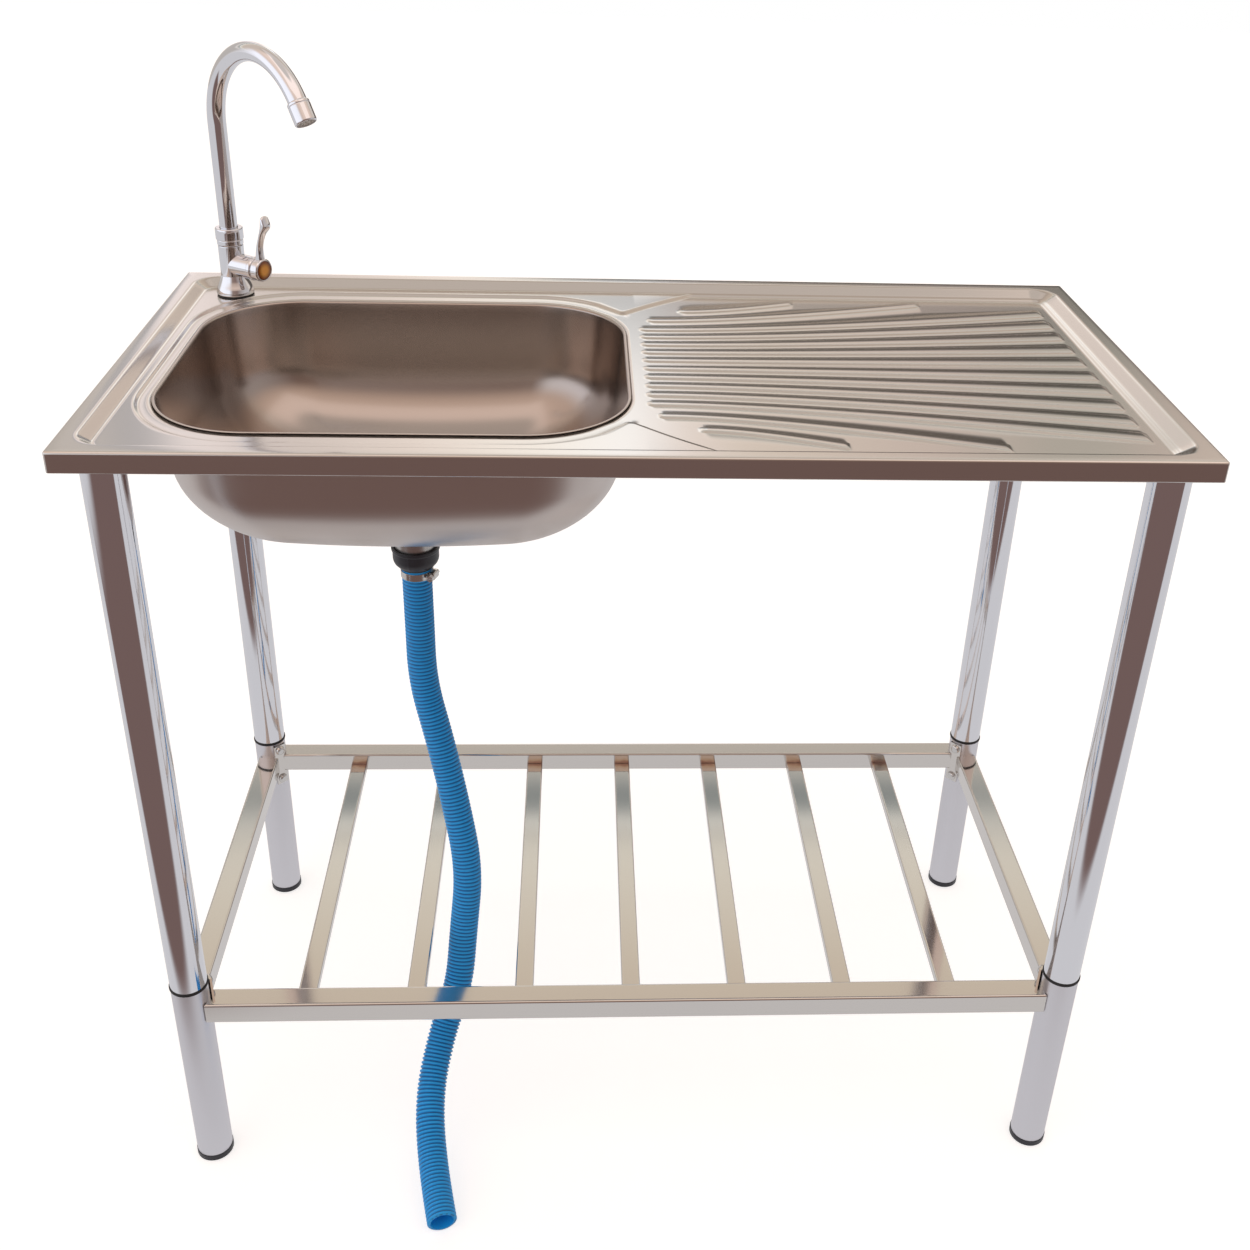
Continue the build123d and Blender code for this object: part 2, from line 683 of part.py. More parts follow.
def spout_nut():
    """Round nut that keeps the spout's collar on the neck and lets the spout turn."""
    under_cap = tube_foot_z + swivel_gap
    top = under_cap + spout_nut_cap
    return Pos(tap_x, tap_y, 0) * turned([
        (tap_neck_radius + thread_gap, body_top_z),
        (spout_nut_radius, body_top_z),
        (spout_nut_radius, top - spout_nut_edge),
        (spout_nut_radius - spout_nut_edge, top),
        (spout_radius + swivel_gap, top),
        (spout_radius + swivel_gap, under_cap),
        (tap_neck_radius + thread_gap, under_cap),
    ])


def spout_frame():
    """Heading vector, end point and end direction of the gooseneck's arch."""
    heading = math.radians(spout_heading)
    ahead = Vector(math.cos(heading), math.sin(heading), 0)
    turn = math.radians(arch_turn)
    reach = arch_radius * (1 - math.cos(turn))
    end = Vector(tap_x, tap_y, arch_centre_z + arch_radius * math.sin(turn)) + ahead * reach
    direction = ahead * math.sin(turn) + Vector(0, 0, math.cos(turn))
    return ahead, end, direction


def spout_path(start_z, tail):
    """Centre line of the spout: a riser, the arch and a straight tail."""
    ahead, end, direction = spout_frame()
    foot = Vector(tap_x, tap_y, start_z)
    shoulder = Vector(tap_x, tap_y, arch_centre_z)
    crown = shoulder + ahead * arch_radius + Vector(0, 0, arch_radius)
    riser = Line(foot, shoulder)
    arch = ThreePointArc(shoulder, crown, end)
    last = Line(end, end + direction * tail)
    return Wire([riser.edge(), arch.edge(), last.edge()])


def tap_spout():
    """Gooseneck tube with the collar and stem that turn in the tap body."""
    tail = spout_tail - insert_height - 2 * insert_setback
    outer = sweep(Pos(tap_x, tap_y, tube_foot_z) * Circle(spout_radius), spout_path(tube_foot_z, tail))
    bore = sweep(Pos(tap_x, tap_y, tube_foot_z) * Circle(spout_bore), spout_path(tube_foot_z, tail))
    groove_z = collar_foot_z - stem_length / 2
    groove = stem_radius - o_ring_groove
    stem = Pos(tap_x, tap_y, 0) * turned([
        (stem_bore, collar_foot_z - stem_length),
        (stem_radius, collar_foot_z - stem_length),
        (stem_radius, groove_z),
        (groove, groove_z),
        (groove, groove_z + o_ring_section),
        (stem_radius, groove_z + o_ring_section),
        (stem_radius, collar_foot_z),
        (tap_neck_radius - spout_collar_setback, collar_foot_z),
        (tap_neck_radius - spout_collar_setback, tube_foot_z),
        (stem_bore, tube_foot_z),
    ])
    return outer - bore + stem


def spout_o_ring():
    """Seal in the stem's groove."""
    inner = stem_radius - o_ring_groove
    outer = stem_radius + swivel_gap - o_ring_squeeze_gap
    height = o_ring_section - 2 * o_ring_play
    z = collar_foot_z - stem_length / 2 + o_ring_play
    return Pos(tap_x, tap_y, 0) * turned([(inner, z), (outer, z), (outer, z + height), (inner, z + height)])


def outlet_plane():
    """Plane at the end of the arch, its normal along the falling water."""
    _, end, direction = spout_frame()
    return Plane(origin=end, x_dir=(0, 0, 1), z_dir=direction)


def aerator_housing():
    """Screw cap on the spout's end that holds the aerator."""
    inner = spout_radius + thread_gap
    profile = [
        (inner, 0),
        (aerator_radius - aerator_chamfer, 0),
        (aerator_radius, aerator_chamfer),
        (aerator_radius, spout_tail - aerator_chamfer / 2),
        (aerator_radius - aerator_chamfer / 2, spout_tail),
        (inner, spout_tail),
    ]
    return outlet_plane() * turned(profile)


def aerator_insert():
    """Perforated insert at the outlet."""
    height = insert_height
    disc = Cylinder(spout_radius + thread_gap, height, align=standing)
    ring = PolarLocations(insert_hole_circle, insert_hole_count)
    holes = [place * Cylinder(insert_hole_radius, 3 * height) for place in ring]
    holes.append(Cylinder(insert_hole_radius, 3 * height))
    return outlet_plane() * Pos(0, 0, spout_tail - insert_setback - height) * (disc - holes)


# ---------------------------------------------------------------- tap valve
def along_valve(profile):
    """Turned piece on the valve's axis; profile is (radius, distance from the tap's axis)."""
    return heading_plane(valve_origin, valve_heading) * turned(profile)


def valve_cartridge():
    """Ceramic quarter-turn cartridge inside the boss."""
    return along_valve([
        (spindle_radius + swivel_gap, spindle_start),
        (spindle_radius + swivel_gap, boss_reach),
        (cartridge_radius - cartridge_clearance, boss_reach),
        (cartridge_radius - cartridge_clearance, cartridge_start + cartridge_clearance),
        (0, cartridge_start + cartridge_clearance),
        (0, spindle_start - swivel_gap),
        (spindle_radius + swivel_gap, spindle_start - swivel_gap),
    ])


def valve_bonnet():
    """Chromed bonnet that closes the boss behind the lever."""
    return along_valve([
        (spindle_radius + swivel_gap, boss_reach),
        (bonnet_radius, boss_reach),
        (bonnet_radius, boss_reach + bonnet_length - bonnet_chamfer),
        (bonnet_radius - bonnet_chamfer, boss_reach + bonnet_length),
        (spindle_radius + swivel_gap, boss_reach + bonnet_length),
    ])


def valve_spindle():
    """Spindle that the lever turns."""
    return along_valve([
        (0, spindle_start),
        (spindle_radius, spindle_start),
        (spindle_radius, hub_start + hub_grip),
        (0, hub_start + hub_grip),
    ])


def tap_lever():
    """Lever: round hub on the spindle and an upright arm, bent outwards near its tip."""
    end = hub_start + hub_length
    hub = along_valve([
        (spindle_radius + cartridge_clearance, hub_start),
        (hub_radius - hub_chamfer, hub_start),
        (hub_radius, hub_start + hub_chamfer),
        (hub_radius, end - hub_chamfer),
        (hub_radius - hub_chamfer, end),
        (index_radius + index_clearance, end),
        (index_radius + index_clearance, end - index_height),
        (0, end - index_height),
        (0, hub_start + hub_grip),
        (spindle_radius + cartridge_clearance, hub_start + hub_grip),
    ])
    root = hub_radius - lever_root_depth
    mid = hub_start + hub_length / 2
    rise = lever_height - root
    # both faces, as (height above the valve's axis, distance along it)
    inner = Spline([(root + share * rise, mid + near) for share, near, far in lever_faces])
    outer = Spline([(root + share * rise, mid + far) for share, near, far in lever_faces])
    tip = ThreePointArc(inner @ 1, (lever_height, mid + lever_tip), outer @ 1)
    foot = Line(inner @ 0, outer @ 0)
    blade = extrude(Plane.XZ * make_face([inner, outer, tip, foot]), lever_width / 2, both=True)
    arm = heading_plane(valve_origin, valve_heading) * blade
    return hub + arm


def index_disc():
    """Round coloured disc in the lever's hub."""
    end = hub_start + hub_length
    return along_valve([(0, end - index_height), (index_radius, end - index_height),
                        (index_radius, end - index_edge), (0, end + index_crown)])


# ---------------------------------------------------------------- waste
def at_waste(shape):
    """Places a piece on the waste's axis."""
    return Pos(bowl_x, 0, 0) * shape


def waste_body():
    """Flange on the bowl's seat and the threaded tail through the waste hole."""
    bore = waste_tail_radius - waste_tail_wall
    return at_waste(turned([
        (bore, waste_tail_z),
        (waste_tail_radius, waste_tail_z),
        (waste_tail_radius, seat_floor_z),
        (waste_flange_radius, seat_floor_z),
        (waste_flange_radius, seat_floor_z + waste_flange_rim),
        (waste_flange_radius - waste_flange_slope, seat_floor_z + waste_flange_height),
        (bore, seat_floor_z + waste_flange_height),
    ]))


def basket_strainer():
    """Lift-out basket: rim, perforated cup and knob."""
    rim_z = seat_floor_z + waste_flange_height + swivel_gap
    outer = waste_tail_radius - waste_tail_wall - basket_clearance
    inner = outer - basket_wall
    floor_z = rim_z - basket_depth
    knob_z = rim_z - basket_depth + basket_wall + basket_knob_height
    knob = [(basket_knob_radius - inset, knob_z - down) for inset, down in basket_knob]
    cup = turned([
        (0, floor_z),
        (outer, floor_z),
        (outer, rim_z),
        (basket_rim_radius, rim_z),
        (basket_rim_radius, rim_z + basket_wall),
        (inner, rim_z + basket_wall),
        (inner, floor_z + basket_wall),
        (basket_stem_radius, floor_z + basket_wall),
        (basket_stem_radius, knob_z - basket_knob_thickness),
        *knob,
        (0, knob_z),
    ])
    ring = PolarLocations(basket_hole_circle, basket_hole_count)
    punch = Pos(0, 0, floor_z) * Cylinder(basket_hole_radius, 4 * basket_wall)
    holes = [place * punch for place in ring]
    return at_waste(cup - holes)


def waste_seal():
    """Rubber seal between the bowl and the back nut."""
    inner = waste_tail_radius + thread_gap
    return at_waste(turned([
        (inner, seat_under_z - seal_height),
        (seal_radius, seat_under_z - seal_height),
        (seal_radius, seat_under_z),
        (inner, seat_under_z),
    ]))


def waste_back_nut():
    """Black nut that clamps the waste in the bowl."""
    nut = extrude(RegularPolygon(back_nut_radius, 8), back_nut_height)
    nut = nut - Cylinder(waste_tail_radius + thread_gap, 4 * back_nut_height)
    return at_waste(Pos(0, 0, seat_under_z - seal_height - back_nut_height) * nut)


def hose_coupling():
    """Black coupling: a cup screwed on the waste's tail, a rounded waist and the hose spigot."""
    screw = waste_tail_radius + thread_gap
    foot = coupling_shoulder_z - spigot_length
    cup = coupling_radius - coupling_rim_step
    rim_z = coupling_top_z - coupling_rim
    half = (coupling_waist_z + coupling_shoulder_z) / 2
    waist = (coupling_radius + coupling_neck_radius) / 2
    return at_waste(turned([
        (spigot_bore, foot),
        (spigot_radius - spigot_chamfer, foot),
        (spigot_radius, foot + spigot_chamfer_run),
        (spigot_radius, coupling_shoulder_z),
        (coupling_neck_radius, coupling_shoulder_z),
        (coupling_neck_radius, coupling_shoulder_z + coupling_neck_height),
        (waist + coupling_bulge, half),
        (cup, coupling_waist_z),
        (cup, rim_z - coupling_rim_step),
        (coupling_radius, rim_z),
        (coupling_radius, coupling_top_z),
        (screw, coupling_top_z),
        (screw, waste_tail_z),
        (spigot_bore, waste_tail_z - coupling_floor),
    ]))


# ---------------------------------------------------------------- drain hose and its clamp
def turn_between(before, corner, after):
    """Angle in degrees by which the route turns at a corner."""
    return (corner - before).get_angle(after - corner)


def route_radii(points):
    """Largest bend radius that the two runs at each corner allow."""
    radii = []
    for before, corner, after in zip(points, points[1:], points[2:]):
        shorter = min((corner - before).length, (after - corner).length)
        half_turn = math.radians(turn_between(before, corner, after) / 2)
        radii.append(bend_share * shorter / math.tan(half_turn))
    return radii


def hose_path():
    """Centre line of the hose: straight runs joined by tangent arcs."""
    points = [Vector(*point) for point in hose_route]
    radii = route_radii(points)
    print("hose bend radii, mm:", [round(radius) for radius in radii])
    return FilletPolyline(*points, radius=radii)


def hose_section(path, share, radius):
    """Circle square to the hose at a share of its length, on a steady X axis."""
    plane = Plane(origin=path @ share, x_dir=(1, 0, 0), z_dir=path % share)
    across = Vector(1, 0, 0) - plane.z_dir * plane.z_dir.X
    steady = Plane(origin=plane.origin, x_dir=across, z_dir=plane.z_dir)
    return steady * Circle(radius)


def drain_hose():
    """Ribbed hose: four circles a rib, ruled from one to the next, and a plain bore."""
    path = hose_path()
    length = path.length
    ribs = int(length / hose_rib_pitch)
    pitch = 1.0 / ribs
    root_end, flank_end, crown_end = hose_rib_shares
    sections = []
    for rib in range(ribs):
        start = rib * pitch
        sections.append(hose_section(path, start, hose_root_radius))
        sections.append(hose_section(path, start + root_end * pitch, hose_root_radius))
        sections.append(hose_section(path, start + flank_end * pitch, hose_radius))
        sections.append(hose_section(path, start + crown_end * pitch, hose_radius))
    sections.append(hose_section(path, 1.0, hose_root_radius))
    outer = loft(sections, ruled=True)
    bore = sweep(hose_section(path, 0.0, hose_bore), path)
    hose = outer - bore
    print("hose length, mm:", round(length, 1), "ribs:", ribs)
    print("hose bore volume over section times length:",
          round(bore.volume / (math.pi * hose_bore ** 2 * length), 4))
    return hose


def clamp_mid_z():
    """Height of the clamp's middle."""
    return coupling_shoulder_z - clamp_drop - clamp_width / 2


def clamp_seat():
    """Plane at the clamp's screw housing: its normal points out from the hose."""
    return heading_plane((bowl_x, 0, clamp_mid_z()), clamp_heading)


def clamp_screw_axis():
    """Plane on the clamp screw's axis, which runs along the band."""
    angle = math.radians(clamp_heading)
    reach = hose_radius + clamp_gap + clamp_band + housing_depth / 2
    origin = (bowl_x + reach * math.cos(angle), reach * math.sin(angle), clamp_mid_z())
    return heading_plane(origin, clamp_heading - 90)


def hose_clamp():
    """Steel band round the hose's cuff with the screw's housing."""
    inner = hose_radius + clamp_gap
    band = Cylinder(inner + clamp_band, clamp_width) - Cylinder(inner, clamp_width)
    band = Pos(bowl_x, 0, clamp_mid_z()) * band
    housing = Box(housing_height, housing_length, housing_depth, align=standing)
    housing = clamp_seat() * Pos(0, 0, inner + clamp_band / 2) * housing
    screw_room = clamp_screw_axis() * Cylinder(clamp_screw_radius + clamp_screw_clearance,
                                               2 * clamp_screw_length)
    core = Pos(bowl_x, 0, clamp_mid_z()) * Cylinder(inner, 2 * housing_height)
    return band + (housing - core) - screw_room


def clamp_screw():
    """Worm screw of the hose clamp, with its hexagon head towards the front."""
    shank = Cylinder(clamp_screw_radius, clamp_screw_length)
    head = extrude(RegularPolygon(clamp_head_radius, 6), clamp_head_length)
    slot = Box(clamp_slot_width, 2 * clamp_head_radius, 2 * clamp_slot_depth)
    top = clamp_screw_length / 2
    screw = shank + Pos(0, 0, top) * head - Pos(0, 0, top + clamp_head_length) * slot
    return clamp_screw_axis() * screw


def build():
    """Writes every sub-part."""
    os.makedirs("parts", exist_ok=True)
    save(worktop(), "worktop")
    save(bowl(), "bowl")
    for name, (side_x, side_y) in corners.items():
        save(leg_socket(side_x, side_y), f"leg_socket_{name}")
        save(upper_leg(side_x, side_y), f"upper_leg_{name}")
        save(leg_ring(side_x, side_y), f"leg_ring_{name}")
        save(lower_leg(side_x, side_y), f"lower_leg_{name}")
        save(foot_cap(side_x, side_y), f"foot_cap_{name}")
        save(corner_strap(side_x, side_y), f"corner_strap_{name}")
    save(strap_bolts(), "strap_bolts")
    save(long_rail(-1), "shelf_rail_front")
    save(long_rail(1), "shelf_rail_back")
    save(side_rail(-1), "shelf_rail_left")
    save(side_rail(1), "shelf_rail_right")
    for index in range(slat_count):
        save(shelf_slat(index), f"shelf_slat_{index + 1}")
    save(tap_seal_ring(), "tap_base_seal")
    save(tap_body(), "tap_body")
    save(tap_washer(), "tap_washer")
    save(tap_lock_nut(), "tap_lock_nut")
    save(spout_nut(), "spout_nut")
    save(tap_spout(), "tap_spout")
    save(spout_o_ring(), "spout_o_ring")
    save(aerator_housing(), "aerator_housing")
    save(aerator_insert(), "aerator_insert")
    save(valve_cartridge(), "valve_cartridge")
    save(valve_bonnet(), "valve_bonnet")
    save(valve_spindle(), "valve_spindle")
    save(tap_lever(), "tap_lever")
    save(index_disc(), "index_disc")
    save(waste_body(), "waste_body")
    save(basket_strainer(), "basket_strainer")
    save(waste_seal(), "waste_seal")
    save(waste_back_nut(), "waste_back_nut")
    save(hose_coupling(), "hose_coupling")
    save(hose_clamp(), "hose_clamp")
    save(clamp_screw(), "clamp_screw")
    save(drain_hose(), "drain_hose")


build()
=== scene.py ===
"""Looks of the free-standing kitchen sink unit, built round its CAD frame."""

import math

import bmesh
import bpy
import numpy as np
from mathutils import Matrix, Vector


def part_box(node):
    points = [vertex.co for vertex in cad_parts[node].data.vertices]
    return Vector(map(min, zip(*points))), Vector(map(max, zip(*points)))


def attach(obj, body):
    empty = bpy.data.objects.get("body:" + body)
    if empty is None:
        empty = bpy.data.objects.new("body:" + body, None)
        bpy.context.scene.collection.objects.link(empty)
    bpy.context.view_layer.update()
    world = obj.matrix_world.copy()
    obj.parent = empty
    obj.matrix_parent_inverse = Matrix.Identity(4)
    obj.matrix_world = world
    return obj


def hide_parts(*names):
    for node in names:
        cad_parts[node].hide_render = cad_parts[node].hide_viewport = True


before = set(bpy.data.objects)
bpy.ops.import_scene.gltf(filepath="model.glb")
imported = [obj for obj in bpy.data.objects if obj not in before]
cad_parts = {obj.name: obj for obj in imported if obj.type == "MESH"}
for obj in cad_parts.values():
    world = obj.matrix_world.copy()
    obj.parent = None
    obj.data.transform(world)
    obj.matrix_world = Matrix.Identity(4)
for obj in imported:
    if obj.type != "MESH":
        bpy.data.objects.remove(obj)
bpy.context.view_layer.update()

bl_info = {
    "name": "Kitchen Sink Unit",
    "version": (1, 0, 0),
    "blender": (4, 5, 0),
    "location": "View3D > Sidebar > Sink Unit",
    "description": "Pressed stainless sink unit on tube legs, with its tap, waste and drain hose",
    "category": "Object",
}

# Sizes are in millimetres, in the frame's own axes: X right, Y back, Z up, origin on the floor.
MM = 0.001
# in metres: points this close are joined, and edges this short are dropped
JOIN_WITHIN = 2e-6
DROP_WITHIN = 1e-7
CORNERS = {"front_left": (-1, -1), "front_right": (1, -1), "back_left": (-1, 1), "back_right": (1, 1)}


def node_box(node):
    """Lowest and highest corner of a CAD node, in mm."""
    low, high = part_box(node)
    return np.array(low) / MM, np.array(high) / MM


def node_centre(node):
    """Middle of a CAD node's box, in mm."""
    low, high = node_box(node)
    return (low + high) / 2


TOP_LOW, TOP_HIGH = node_box("worktop")
HALF_X = TOP_HIGH[0]
HALF_Y = TOP_HIGH[1]
RIM_Z = TOP_HIGH[2]
SKIRT_Z = TOP_LOW[2]
BOWL_X = node_centre("waste_body")[0]
TAP_X, TAP_Y = node_centre("spout_nut")[:2]
LEG_X = -node_centre("foot_cap_front_left")[0]
LEG_Y = -node_centre("foot_cap_front_left")[1]


# ------------------------------------------------------------------ sizes and colours
class SinkSizes(bpy.types.PropertyGroup):
    """Sizes that a user would change."""

    sheet: bpy.props.FloatProperty(
        name="Sheet", description="Thickness of the stainless sheet, in mm", default=1.0, min=0.5, max=2.0)
    recess_depth: bpy.props.FloatProperty(
        name="Recess depth", description="Rim to deck, in mm", default=8.0, min=2.0, max=20.0)
    pan_depth: bpy.props.FloatProperty(
        name="Pan depth", description="Deck to the ledge and the drainer, in mm", default=2.5, min=0.5,
        max=8.0)
    rib_height: bpy.props.FloatProperty(
        name="Rib height", description="Drainer ribs over the drainer, in mm", default=1.0, min=0.0, max=5.0)
    rib_flank: bpy.props.FloatProperty(
        name="Rib flank", description="Width over which a rib rises, in mm", default=2.2, min=1.0, max=8.0)
    lip_radius: bpy.props.FloatProperty(
        name="Bowl lip", description="Rounding where the ledge turns down into the bowl, in mm", default=1.7,
        min=1.0, max=10.0)
    floor_radius: bpy.props.FloatProperty(
        name="Bowl floor radius", description="Rounding from the bowl's wall to its floor, in mm",
        default=84.0, min=10.0, max=100.0)
    floor_dish: bpy.props.FloatProperty(
        name="Bowl floor dish", description="Rise of the bowl's floor towards its left and right ends, in mm",
        default=15.0, min=0.0, max=20.0)
    weld_tint_length: bpy.props.FloatProperty(
        name="Weld tint", description="How far the heat tint runs from a slat's end, in mm", default=10.0,
        min=0.0, max=80.0)


class SinkColours(bpy.types.PropertyGroup):
    """Colours that a user would change, as sRGB hex values."""

    steel: bpy.props.StringProperty(
        name="Worktop steel", description="Polished stainless sheet of the worktop", default="#d5d1cd")
    bowl: bpy.props.StringProperty(
        name="Bowl steel", description="Satin stainless sheet of the bowl", default="#b5aba5")
    chrome: bpy.props.StringProperty(
        name="Chrome", description="Plating of the tap and polish of the legs", default="#e4e5ea")
    satin: bpy.props.StringProperty(
        name="Lower leg steel", description="Satin tube of the lower legs", default="#dedde2")
    shelf: bpy.props.StringProperty(
        name="Shelf steel", description="Polished square and flat tube", default="#d8d4d0")
    hose: bpy.props.StringProperty(
        name="Hose", description="Blue plastic of the drain hose", default="#20adff")
    coupling: bpy.props.StringProperty(
        name="Coupling", description="Black plastic of the coupling and the feet", default="#2c2d35")
    index: bpy.props.StringProperty(
        name="Index disc", description="Orange plastic of the disc in the tap lever", default="#eaa63c")


# ------------------------------------------------------------------ arrays and meshes
def fade(value):
    """Smooth step of a value between 0 and 1: 3 v^2 - 2 v^3."""
    value = np.clip(value, 0.0, 1.0)
    return value * value * (3 - 2 * value)


def unit(vector):
    """A vector scaled to length 1."""
    vector = np.asarray(vector, float)
    return vector / np.linalg.norm(vector, axis=-1, keepdims=True)


def heading(degrees):
    """Level unit vector at an angle from +X."""
    angle = math.radians(degrees)
    return np.array([math.cos(angle), math.sin(angle), 0.0])


def grid_faces(rows, columns, wrap_rows=False, wrap_columns=False):
    """Quads between neighbouring lines of a grid; a wrapped side joins its last line to its first."""
    i, j = np.meshgrid(np.arange(rows - (not wrap_rows)), np.arange(columns - (not wrap_columns)),
                       indexing="ij")
    i_next, j_next = (i + 1) % rows, (j + 1) % columns
    quads = [i * columns + j, i * columns + j_next, i_next * columns + j_next, i_next * columns + j]
    return np.stack(quads, axis=-1).reshape(-1, 4)


def surface(points, wrap_rows=False, wrap_columns=False):
    """A grid of points (rows, columns, 3) with its quads."""
    rows, columns = points.shape[:2]
    return points.reshape(-1, 3), grid_faces(rows, columns, wrap_rows, wrap_columns)


def add_piece(name, surfaces, material, body, nodes=(), sharp=38.0, closed=True, wall=0.0, flip=False,
              shade=None):
    """One mesh from surfaces in mm, riding on a body in place of CAD nodes. Points that coincide are joined,
    a closed one's faces are turned outwards, and bends over sharp degrees stay crisp. A wall is given by
    Solidify. A shade from 0 to 1 for each point is kept as an attribute."""
    counts = np.cumsum([0] + [len(points) for points, faces in surfaces])
    points = np.concatenate([points for points, faces in surfaces]) * MM
    faces = np.concatenate([faces + start for (_, faces), start in zip(surfaces, counts)])
    if flip:
        faces = faces[:, ::-1]
    mesh = bpy.data.meshes.new(name)
    mesh.from_pydata(points.tolist(), [], faces.tolist())
    if shade is not None:
        mesh.attributes.new("shade", "FLOAT", "POINT").data.foreach_set("value", shade)
    work = bmesh.new()
    work.from_mesh(mesh)
    bmesh.ops.remove_doubles(work, verts=work.verts, dist=JOIN_WITHIN)
    bmesh.ops.dissolve_degenerate(work, edges=work.edges, dist=DROP_WITHIN)
    if closed:
        bmesh.ops.recalc_face_normals(work, faces=work.faces)
    work.to_mesh(mesh)
    work.free()
    mesh.shade_smooth()
    mesh.set_sharp_from_angle(angle=math.radians(sharp))
    mesh.materials.append(material)
    piece = bpy.data.objects.new(name, mesh)
    bpy.context.scene.collection.objects.link(piece)
    if wall:
        shell = piece.modifiers.new("Sheet", "SOLIDIFY")
        shell.thickness = wall * MM
        shell.offset = -1.0
        shell.thickness_clamp = 0.0
    if nodes:
        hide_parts(*nodes)
    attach(piece, body)
    return piece


def dress(nodes, material):
    """Gives CAD nodes that stay shown their finish."""
    for node in nodes:
        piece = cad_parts[node]
        piece.data.materials.clear()
        piece.data.materials.append(material)


def soften(profile, radius, steps=5):
    """Profile with each inner corner rounded by the quadratic (1-t)^2 a + 2t(1-t) corner + t^2 b, where a and
    b lie radius from the corner, or 0.36 of its shorter side. A point beyond a and b by 0.3 of that distance
    keeps the sides flat."""
    points = np.asarray(profile, float)
    t = np.linspace(0, 1, steps)[:, None]
    before, corner, after = points[:-2], points[1:-1], points[2:]
    back = np.linalg.norm(corner - before, axis=1, keepdims=True)
    ahead = np.linalg.norm(after - corner, axis=1, keepdims=True)
    reach = np.minimum(radius, 0.36 * np.minimum(back, ahead))
    a = corner + (before - corner) / back * reach
    b = corner + (after - corner) / ahead * reach
    bends = (1 - t) ** 2 * a[:, None] + 2 * t * (1 - t) * corner[:, None] + t ** 2 * b[:, None]
    beside = [(1.3 * point - 0.3 * corner)[:, None] for point in (a, b)]
    bends = np.concatenate([beside[0], bends, beside[1]], axis=1)
    return np.concatenate([points[:1], bends.reshape(-1, 2), points[-1:]])


def smooth_through(places, values, wanted):
    """Cubic Hermite curve through points, its slopes taken from the neighbours on both sides."""
    places, values = np.asarray(places, float), np.asarray(values, float)
    slopes = np.gradient(values, places)
    k = np.clip(np.searchsorted(places, wanted, side="right") - 1, 0, len(places) - 2)
    step = places[k + 1] - places[k]
    t = (wanted - places[k]) / step
    return ((1 + 2 * t) * (1 - t) ** 2 * values[k] + t * (1 - t) ** 2 * step * slopes[k]
            + t * t * (3 - 2 * t) * values[k + 1] + t * t * (t - 1) * step * slopes[k + 1])


def turned(profile, origin, axis=(0, 0, 1), segments=72, loop=False, wave=None):
    """Surface of revolution: point (r, h) of the profile goes round the axis at origin + h axis + r across.
    A loop joins the profile's end to its start. wave(angle, h) is added to the radius."""
    profile = np.asarray(profile, float)
    axis = unit(axis)
    upright = abs(axis[2]) > 0.9
    across = unit(np.cross(axis, (0, 1, 0) if upright else (0.31, 0.17, 0.93)))
    side = np.cross(axis, across)
    angle = np.linspace(0, 2 * np.pi, segments, endpoint=False)
    around = np.cos(angle)[:, None] * across + np.sin(angle)[:, None] * side
    radius = profile[:, :1] + (0 if wave is None else wave(angle[None, :], profile[:, 1:]))
    points = (np.asarray(origin, float) + profile[:, 1, None, None] * axis
              + np.broadcast_to(radius, (len(profile), segments))[..., None] * around)
    return surface(points, wrap_rows=loop, wrap_columns=True)


def tube(path, radius, reference, segments=48):
    """Tube round a path: ring i lies round path[i] at radius[i], square to the path, its first point towards
    the part of the reference direction that is square to the path."""
    path = np.asarray(path, float)
    tangent = unit(np.gradient(path, axis=0))
    reference = np.asarray(reference, float)
    across = unit(reference - tangent * (tangent @ reference)[:, None])
    side = np.cross(tangent, across)
    angle = np.linspace(0, 2 * np.pi, segments, endpoint=False)
    ring = (np.cos(angle)[None, :, None] * across[:, None] + np.sin(angle)[None, :, None] * side[:, None])
    points = path[:, None] + np.broadcast_to(radius, len(path))[:, None, None] * ring
    return surface(points, wrap_columns=True)


# ------------------------------------------------------------------ materials
# second tones of the finishes; the hose's groove tone and the index disc's rim tone are painted shade
BOWL_SKIN = "#d3cac5"
TINT_STRAW = "#cdbfb0"
TINT_BROWN = "#a5857a"
# painted shade down in the hose's grooves
HOSE_GROOVE_SHADE = "#12609f"
# painted shade at the index disc's rim
INDEX_RIM_SHADE = "#7a3f12"
# how far noise moves the heat tint's edge, in mm, and how fine that noise is
TINT_DRIFT = 12.0
TINT_PATCHES_PER_M = 70.0


def linear(code):
    """Linear colour of an sRGB hex value: c/12.92 below 0.04045 and ((c+0.055)/1.055)^2.4 above."""
    srgb = np.array([int(code[i:i + 2], 16) for i in (1, 3, 5)]) / 255.0
    value = np.where(srgb <= 0.04045, srgb / 12.92, ((srgb + 0.055) / 1.055) ** 2.4)
    return (float(value[0]), float(value[1]), float(value[2]), 1.0)


def node(tree, kind, inputs=None, stops=(), **settings):
    """Adds a shader node with its settings. Each input, by name or number, gets a value or a link from an
    output. Stops are a colour ramp's places, from 0 to 1, and hex colours."""
    made = tree.nodes.new(kind)
    for name, value in settings.items():
        setattr(made, name, value)
    for key, value in (inputs or {}).items():
        if isinstance(value, bpy.types.NodeSocket):
            tree.links.new(value, made.inputs[key])
        else:
            made.inputs[key].default_value = value
    if stops:
        elements = made.color_ramp.elements
        for place, colour in stops[1:-1]:
            elements.new(place).color = linear(colour)
        elements[0].color = linear(stops[0][1])
        elements[len(elements) - 1].color = linear(stops[-1][1])
    return made


